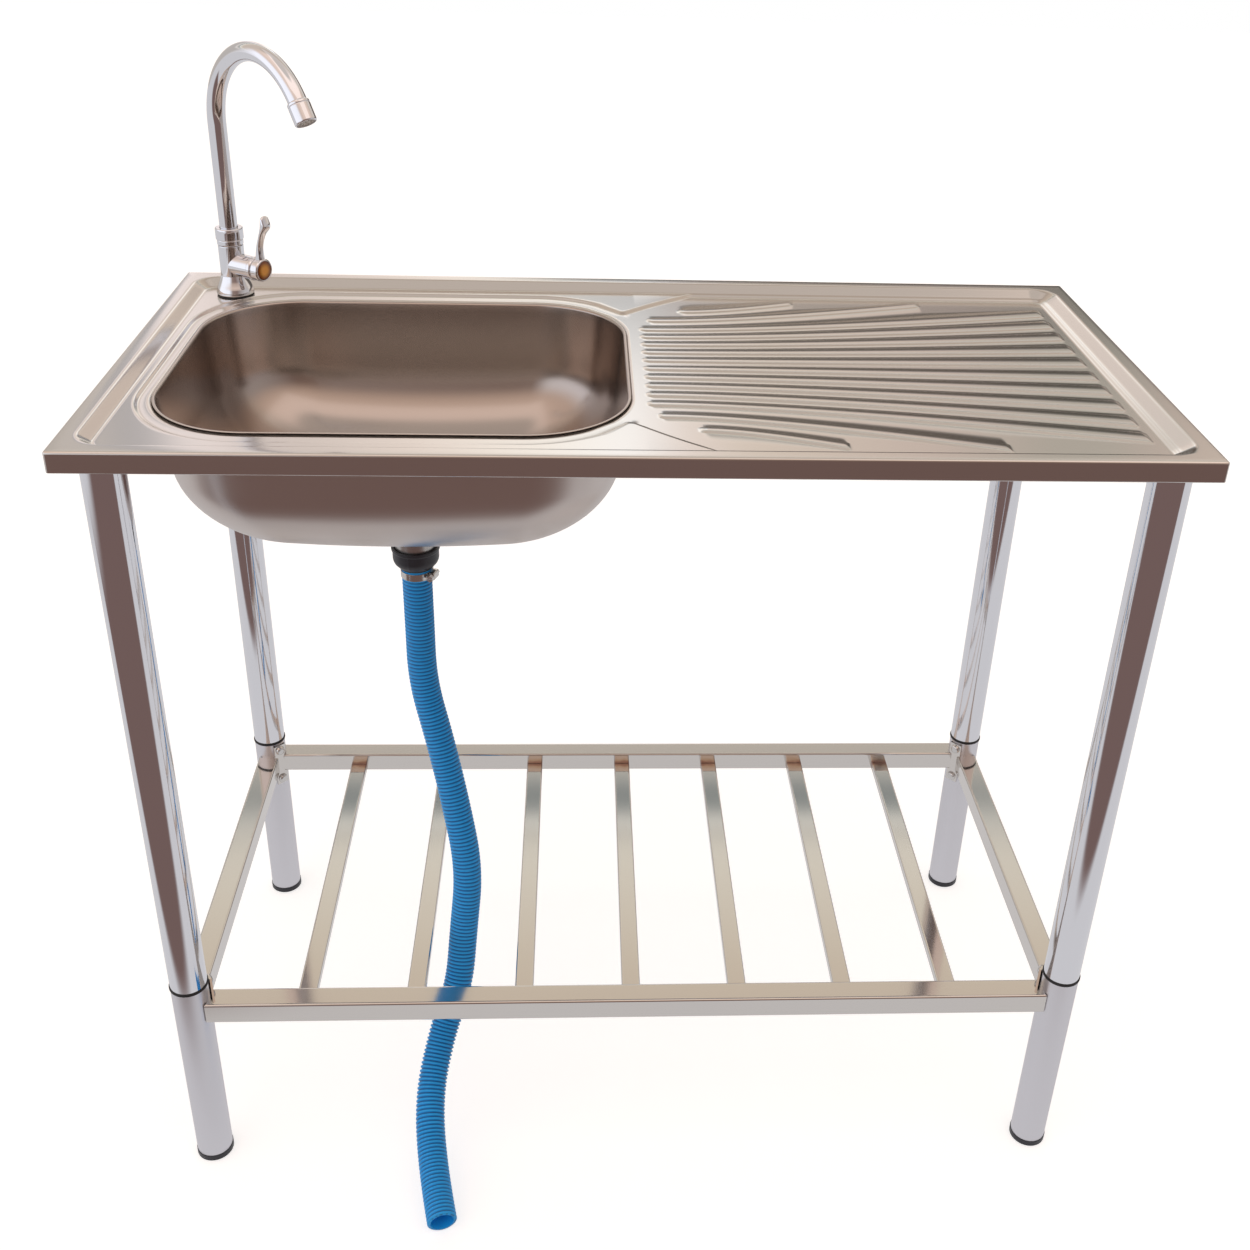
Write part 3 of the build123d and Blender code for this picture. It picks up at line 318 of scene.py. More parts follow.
def plain_material(name, colour, metallic=0.0, roughness=0.5, **more):
    """Principled material with constants on its own sockets. Returns it, its tree and its shader."""
    material = bpy.data.materials.new(name)
    material.use_nodes = True
    tree = material.node_tree
    shader = tree.nodes["Principled BSDF"]
    shader.inputs["Base Color"].default_value = linear(colour)
    shader.inputs["Metallic"].default_value = metallic
    shader.inputs["Roughness"].default_value = roughness
    for key, value in more.items():
        shader.inputs[key.replace("_", " ")].default_value = value
    return material, tree, shader


def grained(material, tree, shader, size_mm, stretch, height_mm):
    """Fine grain as a bump: noise on Object coordinates whose grains are size_mm times the stretch along each
    axis."""
    place = node(tree, "ShaderNodeTexCoord")
    scale = node(tree, "ShaderNodeMapping", {
        "Vector": place.outputs["Object"], "Scale": tuple(1.0 / (size_mm * MM * s) for s in stretch)})
    noise = node(tree, "ShaderNodeTexNoise", {
        "Vector": scale.outputs["Vector"], "Scale": 1.0, "Detail": 3.0, "Roughness": 0.55})
    bump = node(tree, "ShaderNodeBump", {
        "Height": noise.outputs["Fac"], "Strength": 1.0, "Distance": height_mm * MM})
    tree.links.new(bump.outputs["Normal"], shader.inputs["Normal"])
    return material


def polished_sheet(colour):
    """Stainless sheet, roller-polished after pressing: a soft mirror with a faint drawn-out ripple."""
    made = plain_material("polished_stainless_sheet", colour, metallic=1.0, roughness=0.15)
    return grained(*made, size_mm=45.0, stretch=(2.2, 1.0, 1.0), height_mm=0.02)


def satin_bowl(colour):
    """Stainless sheet, deep drawn. Inside it is brushed: soft reflections, darker than the polished worktop.
    Its outside keeps the press's duller, paler skin; a point is outside where its normal leaves the bowl's
    axis."""
    material, tree, shader = plain_material("drawn_satin_stainless", colour, metallic=1.0)
    place = node(tree, "ShaderNodeTexCoord")
    from_axis = node(tree, "ShaderNodeVectorMath", {
        0: place.outputs["Object"], 1: (BOWL_X * MM, 0.0, RIM_Z * MM)}, operation="SUBTRACT")
    along = node(tree, "ShaderNodeVectorMath", {
        0: from_axis.outputs[0], 1: place.outputs["Normal"]}, operation="DOT_PRODUCT")
    outside = node(tree, "ShaderNodeMath", {0: along.outputs["Value"], 1: 0.0}, operation="GREATER_THAN")
    skin = node(tree, "ShaderNodeMix", {
        0: outside.outputs[0], 6: linear(colour), 7: linear(BOWL_SKIN)}, data_type="RGBA")
    dull = node(tree, "ShaderNodeMix", {0: outside.outputs[0], 2: 0.22, 3: 0.34}, data_type="FLOAT")
    tree.links.new(skin.outputs[2], shader.inputs["Base Color"])
    tree.links.new(dull.outputs[0], shader.inputs["Roughness"])
    return material


def chromed(name, colour, roughness=0.06):
    """Polished or plated metal: a clear mirror in the colour of its surface."""
    return plain_material(name, colour, metallic=1.0, roughness=roughness)[0]


def drawn_tube(colour):
    """Bright drawn stainless tube: a mirror with faint lines along the tube from the die."""
    made = plain_material("bright_drawn_tube", colour, metallic=1.0, roughness=0.08)
    return grained(*made, size_mm=5.0, stretch=(1.0, 1.0, 120.0), height_mm=0.035)


def satin_tube(colour):
    """Stainless tube, belt-ground: a pale blur with no mirror image."""
    made = plain_material("satin_ground_tube", colour, metallic=1.0, roughness=0.36)
    return grained(*made, size_mm=1.6, stretch=(1.0, 1.0, 9.0), height_mm=0.006)


def welded_slat(colour, tint_length):
    """Polished flat tube with heat tint next to its welds: straw to brown within the tint's length of the
    ends, which lie at the slats' largest |Y|. Noise moves the tint's edge."""
    material, tree, shader = plain_material("polished_flat_tube", colour, metallic=1.0, roughness=0.07)
    end = node_box("shelf_slat_1")[1][1] * MM
    place = node(tree, "ShaderNodeTexCoord")
    split = node(tree, "ShaderNodeSeparateXYZ", {"Vector": place.outputs["Object"]})
    span = node(tree, "ShaderNodeMath", {0: split.outputs["Y"]}, operation="ABSOLUTE")
    blur = node(tree, "ShaderNodeTexNoise", {
        "Vector": place.outputs["Object"], "Scale": TINT_PATCHES_PER_M})
    drift = node(tree, "ShaderNodeMath", {
        0: blur.outputs["Fac"], 1: TINT_DRIFT * MM, 2: span.outputs[0]}, operation="MULTIPLY_ADD")
    tint = node(tree, "ShaderNodeMapRange", {
        "Value": drift.outputs[0], "From Min": end - tint_length * MM, "From Max": end + TINT_DRIFT * MM / 2},
        interpolation_type="SMOOTHSTEP")
    ramp = node(tree, "ShaderNodeValToRGB", {"Fac": tint.outputs["Result"]},
                stops=[(0.0, colour), (0.55, TINT_STRAW), (1.0, TINT_BROWN)])
    tree.links.new(ramp.outputs["Color"], shader.inputs["Base Color"])
    return material


def moulded_plastic(name, colour, roughness=0.42):
    """Injection-moulded plastic or rubber (IOR 1.5) with a fine matt grain."""
    made = plain_material(name, colour, roughness=roughness, IOR=1.5)
    return grained(*made, size_mm=1.2, stretch=(1.0, 1.0, 1.0), height_mm=0.01)


def shaded(material, tree, shader, pale, dark):
    """Base colour mixed from pale to dark by the piece's shade attribute."""
    shade = node(tree, "ShaderNodeAttribute", attribute_name="shade")
    mixed = node(tree, "ShaderNodeMix", {
        0: shade.outputs["Fac"], 6: linear(pale), 7: linear(dark)}, data_type="RGBA")
    tree.links.new(mixed.outputs[2], shader.inputs["Base Color"])
    return material


def ribbed_hose(colour):
    """Blow-moulded polyethylene (IOR 1.5): saturated blue crowns, with painted shade, a darker blue, down in
    the grooves.
    """
    made = plain_material("blow_moulded_polyethylene", colour, roughness=0.42, IOR=1.5)
    return shaded(*made, colour, HOSE_GROOVE_SHADE)


def clear_index(colour):
    """Dyed acrylic disc (IOR 1.49) under a glossy coat: painted light leaves it amber in the middle, and
    painted shade darkens it at its rim."""
    made = plain_material("dyed_acrylic_disc", colour, roughness=0.18, IOR=1.49, Coat_Weight=0.6,
                          Coat_Roughness=0.08)
    return shaded(*made, colour, INDEX_RIM_SHADE)


FINISHES = {}


def finish(name):
    """The shared material of that name, made once from the scene's colours."""
    if not FINISHES:
        colours = bpy.context.scene.sink_colours
        sizes = bpy.context.scene.sink_sizes
        FINISHES.update(
            worktop=polished_sheet(colours.steel),
            bowl=satin_bowl(colours.bowl),
            leg=drawn_tube(colours.chrome),
            tap=chromed("chromed_brass", colours.chrome, 0.05),
            lower_leg=satin_tube(colours.satin),
            shelf=chromed("polished_square_tube", colours.shelf, 0.09),
            slat=welded_slat(colours.shelf, sizes.weld_tint_length),
            bolt=chromed("nickelled_bolt", "#d2d0ce", 0.14),
            plain=plain_material("stamped_stainless", "#b9b7b4", metallic=1.0, roughness=0.28)[0],
            clamp=chromed("rolled_spring_steel", "#cfccc8", 0.17),
            brass=plain_material("turned_brass", "#c9a66b", metallic=1.0, roughness=0.25)[0],
            insert=moulded_plastic("moulded_white_acetal", "#dcdcd8"),
            index=clear_index(colours.index),
            rubber=moulded_plastic("black_nitrile_rubber", "#17171a", 0.55),
            plastic=moulded_plastic("black_polypropylene", colours.coupling, 0.4),
            hose=ribbed_hose(colours.hose),
        )
    return FINISHES[name]


# ------------------------------------------------------------------ stage, light and camera
CAMERA_PLACE = (-60.1, -1350.4, 1356.3)
CAMERA_RIGHT = (0.99845, -0.04646, 0.03050)
CAMERA_UP = (-0.00477, 0.47503, 0.87995)
CAMERA_FORWARD = (0.05537, 0.87874, -0.47408)
CAMERA_LENS = 41.29
CAMERA_SHIFT = (-0.0257, -0.0483)
# in metres and watts
CAMERA_CLIP = 60.0
LAMP_SIZE = 3.2
LAMP_PLACE = (0.2, -0.3, 3.2)
LAMP_POWER = 8.0
FLOOR_REACH = 9.0
FLOOR_GREY = 0.6
FLOOR_GLOW = 0.68
# Mirrors see the floor pale, and brown where X * slant + Y passes the front's range and X the left's, in m.
FLOOR_PALE = "#dcdadb"
FLOOR_BROWN = "#7c6560"
BROWN_SLANT = 0.25
BROWN_FRONT = (-0.54, -0.68)
BROWN_LEFT = (-2.4, -1.7)
WHITE = (1.0, 1.0, 1.0, 1.0)


# The room that mirrors see. Back wall by azimuth X/Y: a window straight back, pale to the left, beige to the
# right. Its rise by slope Z/Y dims the lower part. Its upper part is what the shelf mirrors.
ROOM_STRENGTH = 1.5
BACK_WALL = [(-0.5, "#a8a29c"), (-0.36, "#bdb6b1"), (-0.335, "#9d9c9f"), (-0.315, "#a2a1a4"),
             (-0.295, "#eee4e3"), (-0.22, "#c8bdb8"), (-0.12, "#e0d4cc"), (-0.03, "#f6f0e8"),
             (0.04, "#ffffff"), (0.08, "#e4d8d1"), (0.13, "#d3c6ba"), (0.28, "#c2b3aa"),
             (0.36, "#aaa49a"), (0.41, "#aaa59b"), (0.45, "#b6a9a0"), (0.5, "#c1b3a8")]
BACK_RISE = [(0.2, "#70706f"), (0.3, "#929394"), (0.308, "#9b9b9c"), (0.32, "#b9bec3"), (0.346, "#c0c5ca"),
             (0.375, "#ffffff"), (0.5, "#ffffff")]
BACK_UPPER = [(0.6, "#cfcac4"), (0.733, "#aba39a"), (0.741, "#b9bab2"), (0.748, "#a6a9a6"),
              (0.756, "#757a7e"), (0.767, "#5f6a6c"), (0.786, "#757c7e"), (0.794, "#f4f3ec"),
              (0.798, "#f4f3ec"), (0.803, "#b0aca8"), (0.809, "#9d9a94"), (0.818, "#cfcbc1"),
              (0.97, "#c0b5a6"), (1.1, "#b8aa9d")]
SIDE_WALLS = [(-1.0, "#e6e6ec"), (-0.45, "#dedee2"), (-0.1, "#806d64"), (0.35, "#725f58"), (1.0, "#a8a2a0")]
FRONT_HIGH = [(0.6, "#c9b3a4"), (0.8, "#d6c1b3"), (0.92, "#d8c3b6"), (0.965, "#968a80"), (1.0, "#968a80")]
ZENITH = "#968a80"
# Tones drawn by a value of the direction: its X, Y or Z, the azimuth or the slope.
ROOM_RAMPS = {"across": ("azimuth", BACK_WALL), "rise": ("slope", BACK_RISE), "upper": ("slope", BACK_UPPER),
              "sides": ("X", SIDE_WALLS), "high": ("Z", FRONT_HIGH)}
# Tones made of two others: each passes from the first to the second while a value runs through a range.
ROOM_LAYERS = [
    ("wall", "azimuth", (-0.1, 0.03), "across", "rise", "MULTIPLY"),
    ("back", "slope", (0.52, 0.66), "wall", "upper", "MIX"),
    ("front", "Z", (0.36, 0.68), "sides", "high", "MIX"),
    ("over", "Z", (0.74, 0.93), "back", "zenith", "MIX"),
    ("room", "Y", (0.05, 0.35), "front", "over", "MIX"),
]
# The azimuth and the slope are X and Z over Y, where Y is at least this.
LEAST_DEPTH = 0.05


class SINK_OT_stage(bpy.types.Operator):
    """Camera at the photograph's place, a pale floor and soft studio light"""

    bl_idname = "sink_unit.stage"
    bl_label = "Stage"

    def execute(self, context):
        scene = context.scene
        scene.view_settings.view_transform = "Standard"
        self.add_camera(scene)
        self.add_floor(scene)
        self.add_world(scene)
        self.add_lamps(scene)
        return {"FINISHED"}

    def add_camera(self, scene):
        """Camera with its axes as the columns right, up and backward."""
        data = bpy.data.cameras.new("photo_camera")
        data.lens = CAMERA_LENS
        data.shift_x, data.shift_y = CAMERA_SHIFT
        data.clip_end = CAMERA_CLIP
        camera = bpy.data.objects.new("photo_camera", data)
        right, up, forward = (unit(v) for v in (CAMERA_RIGHT, CAMERA_UP, CAMERA_FORWARD))
        turn = np.eye(4)
        turn[:3, 0], turn[:3, 1], turn[:3, 2] = right, up, -forward
        turn[:3, 3] = np.array(CAMERA_PLACE) * MM
        camera.matrix_world = Matrix(turn.tolist())
        scene.collection.objects.link(camera)
        scene.camera = camera

    def add_floor(self, scene):
        """Flat white floor. Mirrors see it pale round the unit and brown where the room's front lies."""
        mesh = bpy.data.meshes.new("studio_floor")
        corners = [(x * FLOOR_REACH, y * FLOOR_REACH, 0) for x, y in ((-1, -1), (1, -1), (1, 1), (-1, 1))]
        mesh.from_pydata(corners, [], [(0, 1, 2, 3)])
        floor = bpy.data.objects.new("studio_floor", mesh)
        scene.collection.objects.link(floor)
        material = bpy.data.materials.new("white_studio_floor")
        material.use_nodes = True
        tree = material.node_tree
        tree.nodes.clear()
        rays = node(tree, "ShaderNodeLightPath")
        place = node(tree, "ShaderNodeTexCoord")
        split = node(tree, "ShaderNodeSeparateXYZ", {"Vector": place.outputs["Object"]})
        slanted = node(tree, "ShaderNodeMath", {
            0: split.outputs["X"], 1: BROWN_SLANT, 2: split.outputs["Y"]}, operation="MULTIPLY_ADD")
        front, wide = (
            node(tree, "ShaderNodeMapRange", {"Value": value, "From Min": start, "From Max": end},
                 interpolation_type="SMOOTHSTEP").outputs["Result"]
            for value, (start, end) in ((slanted.outputs[0], BROWN_FRONT), (split.outputs["X"], BROWN_LEFT)))
        brown = node(tree, "ShaderNodeMath", {0: front, 1: wide}, operation="MULTIPLY")
        room = node(tree, "ShaderNodeMix", {
            0: brown.outputs[0], 6: linear(FLOOR_PALE), 7: linear(FLOOR_BROWN)}, data_type="RGBA")
        seen = node(tree, "ShaderNodeEmission", {"Color": room.outputs[2], "Strength": 1.0})
        diffuse = node(tree, "ShaderNodeBsdfDiffuse", {"Color": (FLOOR_GREY, FLOOR_GREY, FLOOR_GREY, 1.0)})
        glow = node(tree, "ShaderNodeEmission", {"Color": WHITE, "Strength": FLOOR_GLOW})
        lit = node(tree, "ShaderNodeAddShader", {0: diffuse.outputs[0], 1: glow.outputs[0]})
        base = node(tree, "ShaderNodeMixShader", {
            0: rays.outputs["Is Camera Ray"], 1: diffuse.outputs[0], 2: lit.outputs[0]})
        both = node(tree, "ShaderNodeMixShader", {
            0: rays.outputs["Is Glossy Ray"], 1: base.outputs[0], 2: seen.outputs[0]})
        node(tree, "ShaderNodeOutputMaterial", {"Surface": both.outputs[0]})
        mesh.materials.append(material)

    def add_world(self, scene):
        """White for the camera. Mirrors see a room: its back wall is drawn by azimuth X/Y and slope Z/Y, its
        left is pale, its right duller, its front brown and its ceiling a dull beige."""
        world = bpy.data.worlds.new("soft_studio")
        scene.world = world
        world.use_nodes = True
        tree = world.node_tree
        tree.nodes.clear()
        place = node(tree, "ShaderNodeTexCoord")
        split = node(tree, "ShaderNodeSeparateXYZ", {"Vector": place.outputs["Generated"]})
        depth = node(tree, "ShaderNodeMath", {0: split.outputs["Y"], 1: LEAST_DEPTH}, operation="MAXIMUM")
        values = {axis: split.outputs[axis] for axis in "XYZ"}
        for name, axis in (("azimuth", "X"), ("slope", "Z")):
            ratio = node(tree, "ShaderNodeMath", {0: values[axis], 1: depth.outputs[0]}, operation="DIVIDE")
            values[name] = ratio.outputs[0]
        tones = {"zenith": linear(ZENITH)}
        for name, (value, stops) in ROOM_RAMPS.items():
            first, last = stops[0][0], stops[-1][0]
            share = node(tree, "ShaderNodeMapRange", {
                "Value": values[value], "From Min": first, "From Max": last})
            ramp = node(tree, "ShaderNodeValToRGB", {"Fac": share.outputs["Result"]},
                        stops=[((at - first) / (last - first), colour) for at, colour in stops])
            tones[name] = ramp.outputs["Color"]
        for name, value, (start, end), first, second, kind in ROOM_LAYERS:
            share = node(tree, "ShaderNodeMapRange", {
                "Value": values[value], "From Min": start, "From Max": end}, interpolation_type="SMOOTHSTEP")
            layer = node(tree, "ShaderNodeMix", {
                0: share.outputs["Result"], 6: tones[first], 7: tones[second]},
                data_type="RGBA", blend_type=kind)
            tones[name] = layer.outputs[2]
        seen = node(tree, "ShaderNodeBackground", {"Color": tones["room"], "Strength": ROOM_STRENGTH})
        white = node(tree, "ShaderNodeBackground", {"Color": WHITE, "Strength": 1.0})
        rays = node(tree, "ShaderNodeLightPath")
        mixed = node(tree, "ShaderNodeMixShader", {
            0: rays.outputs["Is Camera Ray"], 1: seen.outputs[0], 2: white.outputs[0]})
        node(tree, "ShaderNodeOutputWorld", {"Surface": mixed.outputs[0]})

    def add_lamps(self, scene):
        """One large, weak softbox overhead."""
        data = bpy.data.lights.new("softbox_top", "AREA")
        data.shape = "SQUARE"
        data.size = LAMP_SIZE
        data.energy = LAMP_POWER
        lamp = bpy.data.objects.new("softbox_top", data)
        lamp.matrix_world = Matrix.Translation(LAMP_PLACE)
        scene.collection.objects.link(lamp)


# ------------------------------------------------------------------ drain hose and clamp
HOSE_RADIUS = 16.0
HOSE_ROOT = 14.3
HOSE_BORE = 12.5
HOSE_PITCH = 4.4
HOSE_TOP = node_box("drain_hose")[1][2]
HOSE_ROUTE = [
    (BOWL_X, 0.0, HOSE_TOP),
    (BOWL_X, 0.0, 555.0),
    (-230.5, -6.0, 484.0),
    (-213.0, -23.0, 418.0),
    (-196.0, -46.5, 347.0),
    (-181.5, -70.5, 271.0),
    (-189.0, -90.5, 198.0),
    (-193.5, -117.0, 143.0),
    (-213.0, -151.5, 97.0),
    (-224.5, -206.5, 56.5),
    (-214.5, -277.5, 23.5),
    (-200.0, -336.0, 16.3),
]
HOSE_LINE_POINTS = 401
HOSE_RINGS_PER_RIB = 8
HOSE_BORE_RINGS = 160
HOSE_SEGMENTS = 48
# the plain end inside the clamp: its length and radius
HOSE_CUFF = 13.0
CUFF_RADIUS = 15.85
# one rib: where its flanks start and end and how long a flank is, as shares of the pitch, and its crown's
# rise
FLANKS_START, FLANKS_END = 0.18, 0.98
FLANK_SHARE = 0.22
CROWN_RISE = 0.12
CLAMP_HEADING = -20.0
CLAMP_WIDTH = 8.0
CLAMP_Z = HOSE_TOP - 6.5
BAND_INSIDE, BAND_OUTSIDE = 16.2, 17.0
# the band's tail: degrees past the screw, radius at its start, how far its end stands off, and its sheet
TAIL_TURN = (14.0, 84.0)
TAIL_RADIUS = 17.15
TAIL_LIFT = 1.9
TAIL_SHEET = 0.55
SLOT_PITCH = 3.0
SLOT_DEPTH = 0.5
# the screw's housing: halves of its length, width and depth, and its middle's distance from the hose's axis
HOUSING_HALF = (6.0, 4.5, 3.2)
HOUSING_REACH = 20.0


def hose_line():
    """Points of the hose's centre line, in mm: a NURBS curve of order 3 with the route as control points."""
    curve = bpy.data.curves.new("hose_line", "CURVE")
    curve.dimensions = "3D"
    spline = curve.splines.new("NURBS")
    spline.points.add(len(HOSE_ROUTE) - 1)
    for point, place in zip(spline.points, HOSE_ROUTE):
        point.co = (*(np.array(place) * MM), 1.0)
    spline.order_u = 3
    spline.use_endpoint_u = True
    spline.resolution_u = 60
    line = bpy.data.objects.new("hose_line", curve)
    bpy.context.scene.collection.objects.link(line)
    mesh = bpy.data.meshes.new_from_object(line)
    points = np.zeros(len(mesh.vertices) * 3)
    mesh.vertices.foreach_get("co", points)
    bpy.data.objects.remove(line)
    bpy.data.meshes.remove(mesh)
    return points.reshape(-1, 3) / MM


def even_points(path, count):
    """Points at equal steps of length along a path, and the path's length."""
    steps = np.linalg.norm(np.diff(path, axis=0), axis=1)
    along = np.concatenate([[0.0], np.cumsum(steps)])
    wanted = np.linspace(0, along[-1], count)
    return np.stack([np.interp(wanted, along, path[:, axis]) for axis in range(3)], axis=1), along[-1]


def hose_rib(phase):
    """Radius of the ribbed hose at a phase of its pitch: root, smooth flank, cosine crown, flank."""
    rise = fade((phase - FLANKS_START) / FLANK_SHARE) * fade((FLANKS_END - phase) / FLANK_SHARE)
    middle, half = (FLANKS_START + FLANKS_END) / 2, (FLANKS_END - FLANKS_START) / 2
    crown = CROWN_RISE * np.cos(np.pi * (phase - middle) / half)
    return HOSE_ROOT + (HOSE_RADIUS - CROWN_RISE - HOSE_ROOT + crown) * rise


class SINK_OT_hose(bpy.types.Operator):
    """Blue ribbed drain hose from the coupling to the floor, with its clamp"""

    bl_idname = "sink_unit.hose"
    bl_label = "Drain hose"

    def execute(self, context):
        path, length = even_points(hose_line(), HOSE_LINE_POINTS)
        ribs = int(length / HOSE_PITCH)
        rings, length = even_points(path, ribs * HOSE_RINGS_PER_RIB + 1)
        radius = hose_rib((np.arange(len(rings)) % HOSE_RINGS_PER_RIB) / HOSE_RINGS_PER_RIB)
        radius[np.linspace(0, length, len(rings)) < HOSE_CUFF] = CUFF_RADIUS
        outside = tube(rings, radius, (1, 0, 0), HOSE_SEGMENTS)
        inside = tube(even_points(path, HOSE_BORE_RINGS)[0], HOSE_BORE, (1, 0, 0), HOSE_SEGMENTS)
        ends = [self.end_ring(rings, radius, at) for at in (0, -1)]
        parts = [outside, inside, *ends]
        # painted shade: how deep each ring lies between crown and root, cubed, so that only the grooves are
        # painted dark
        groove_shade = ((HOSE_RADIUS - radius) / (HOSE_RADIUS - HOSE_ROOT)) ** 3
        shade = np.zeros(sum(len(points) for points, faces in parts))
        shade[:len(outside[0])] = np.repeat(groove_shade, HOSE_SEGMENTS)
        hose = add_piece("drain_hose_ribbed", parts, finish("hose"), "frame", ["drain_hose"],
                         sharp=60.0, shade=shade)
        clamp = self.add_clamp()
        return {"FINISHED"}

    def end_ring(self, rings, radius, at):
        """Flat ring between the bore and the outside at one end."""
        step = rings[1] - rings[0] if at == 0 else rings[-1] - rings[-2]
        tangent = unit(step)
        across = unit(np.array([1.0, 0, 0]) - tangent * tangent[0])
        side = np.cross(tangent, across)
        angle = np.linspace(0, 2 * np.pi, HOSE_SEGMENTS, endpoint=False)
        ring = np.cos(angle)[:, None] * across + np.sin(angle)[:, None] * side
        return surface(rings[at] + np.array([HOSE_BORE, radius[at]])[:, None, None] * ring, wrap_columns=True)

    def add_clamp(self):
        """Worm-drive clamp: band, its slotted tail end over the band, and the screw's housing."""
        dress(["clamp_screw"], finish("bolt"))
        half = CLAMP_WIDTH / 2
        section = [(BAND_INSIDE, -half), (BAND_OUTSIDE, -half), (BAND_OUTSIDE, half), (BAND_INSIDE, half),
                   (BAND_INSIDE, -half)]
        band = turned(soften(section, 0.25), (BOWL_X, 0, CLAMP_Z), segments=120)
        return add_piece("hose_clamp_band", [band, self.clamp_tail(half), self.clamp_housing()],
                         finish("clamp"), "frame", ["hose_clamp"], sharp=40.0)

    def clamp_tail(self, half):
        """Slotted end of the band: a strip round the clamp whose radius grows with the square of its share of
        the turn, with slanted slots as dents in its outside."""
        start, end = TAIL_TURN
        turn = np.radians(np.linspace(CLAMP_HEADING + start, CLAMP_HEADING + end, 180))[:, None]
        height = np.linspace(-half + 0.4, half - 0.4, 20)[None, :]
        share = (turn - turn[0]) / (turn[-1] - turn[0])
        radius = TAIL_RADIUS + TAIL_LIFT * share ** 2 + 0 * height
        phase = ((turn * 17.5 - 0.25 * height) / SLOT_PITCH) % 1.0
        slot = (fade((phase - 0.3) / 0.12) * fade((0.7 - phase) / 0.12)
                * fade((half - 1.3 - np.abs(height)) / 0.5))
        inner, outside = (
            np.stack([BOWL_X + distance * np.cos(turn), distance * np.sin(turn),
                      CLAMP_Z + height + 0 * distance], axis=-1)
            for distance in (radius, radius + TAIL_SHEET - SLOT_DEPTH * slot))
        edge = np.concatenate([inner[:, :1], outside, inner[:, :0:-1]], axis=1)
        return surface(edge, wrap_columns=True)

    def clamp_housing(self):
        """Rounded housing over the screw: a superellipse section (cos and sin to the power 0.5) carried along
        the screw and drawn in at both ends."""
        out = heading(CLAMP_HEADING)
        along = heading(CLAMP_HEADING - 90)
        half_length, half_width, half_depth = HOUSING_HALF
        angle = np.linspace(0, 2 * np.pi, 40, endpoint=False)
        across, depth = (np.sign(wave) * np.abs(wave) ** 0.5 * half
                         for wave, half in ((np.cos(angle), half_width), (np.sin(angle), half_depth)))
        inset = np.array([0.0, 0.0, 0.4, 1.0, 4.0])
        station = np.concatenate([inset - half_length, (half_length - inset)[::-1]])
        size = np.array([0.0, 0.86, 0.96, 1.0, 1.0])
        size = np.concatenate([size, size[::-1]])
        centre = np.array([BOWL_X, 0, CLAMP_Z]) + out * HOUSING_REACH
        points = (centre + station[:, None, None] * along
                  + (size[:, None] * depth)[..., None] * out
                  + (size[:, None] * across)[..., None] * np.array([0, 0, 1.0]))
        return surface(points, wrap_columns=True)


# ------------------------------------------------------------------ worktop
RIM_EDGE = 2.5
SKIRT_RETURN = 7.0
RECESS_BORDER = 16.0
RECESS_RUN = 12.0
RECESS_CORNER = 27.0
LEDGE_HALF = (234.0, 207.0)
LEDGE_CORNER = 112.0
PAN_RUN = 4.0
OPENING_HALF = (217.0, 180.0)
OPENING_CORNER = 95.0
# the bowl's joint lies this far outside its opening
JOINT_OUTSET = 2.8
DRAINER_MARGIN = 1.5
DRAINER_END = HALF_X - RECESS_BORDER - RECESS_RUN - DRAINER_MARGIN
DRAINER_HALF = HALF_Y - RECESS_BORDER - RECESS_RUN - DRAINER_MARGIN
DRAINER_CORNER = 12.0
NECK_X = BOWL_X + OPENING_HALF[0] - 2.0
FLARE = [(NECK_X, 150.0), (NECK_X + 36.0, 185.0), (NECK_X + 82.0, DRAINER_HALF)]
# X where the drainer's mesh meets the rings round the bowl
SEAM_X = 2.0
RIB_BEND = 0.3
NOSE_WIDTH = 11.5
RIB_END_CORNER = 3.0
# width over which the ledge and the drainer run into each other
PAN_BLEND = 9.0
# least distance between two rows of the mesh
ROW_GAP = 0.08
# a rib: its nose's and its end's X and Y, and its width at the end
LONG_RIBS = [((5.0, (row + 0.5) * 23.3), (456.0, (row + 0.5) * 39.0), 24.0) for row in range(5)]
OUTER_RIBS = [((14.0, 134.0), (322.0, 202.0), 20.0), ((50.0, 166.0), (178.0, 200.0), 16.0)]
# distances over the drainer's side and over the foot of the recess's wall where the mesh has a line
SIDE_LINES = (-6.4, -5.3, -4.4, -3.2, -2.0, -0.8, 0.5, 1.5, 2.6)
RECESS_LINES = (-2.2, -0.9, 0.2, 1.4, 3.0, 6.0, 9.0, 10.6, 11.8, 13.0, 14.6, 19.0)
# distances over the flank's middle line where the mesh has a line, as shares of the flank's width
FLANK_LINES = (-0.62, -0.2, 0.2, 0.62)


def box_distance(x, y, half, corner):
    """Signed distance to a rounded rectangle: |q+| + min(max(q), 0) - corner, where q = |p| - half +
    corner."""
    qx, qy = np.abs(x) - half[0] + corner, np.abs(y) - half[1] + corner
    return np.hypot(np.maximum(qx, 0), np.maximum(qy, 0)) + np.minimum(np.maximum(qx, qy), 0) - corner


def fold(share, soft):
    """Ramp from 0 to 1 whose two bends are parabolas 2 soft wide."""
    def bend(t):
        return np.where(t > soft, t, np.maximum(t + soft, 0) ** 2 / (4 * soft))
    return bend(share) - bend(share - 1)


def flare_half(x):
    """Half width of the drainer's neck at x: the parabola through its three points, then the full width."""
    (x0, y0), (x1, y1), (x2, y2) = FLARE
    first, second = (y1 - y0) / (x1 - x0), (y2 - y1) / (x2 - x1)
    x = np.clip(x, x0, x2)
    return y0 + first * (x - x0) + (second - first) / (x2 - x0) * (x - x0) * (x - x1)


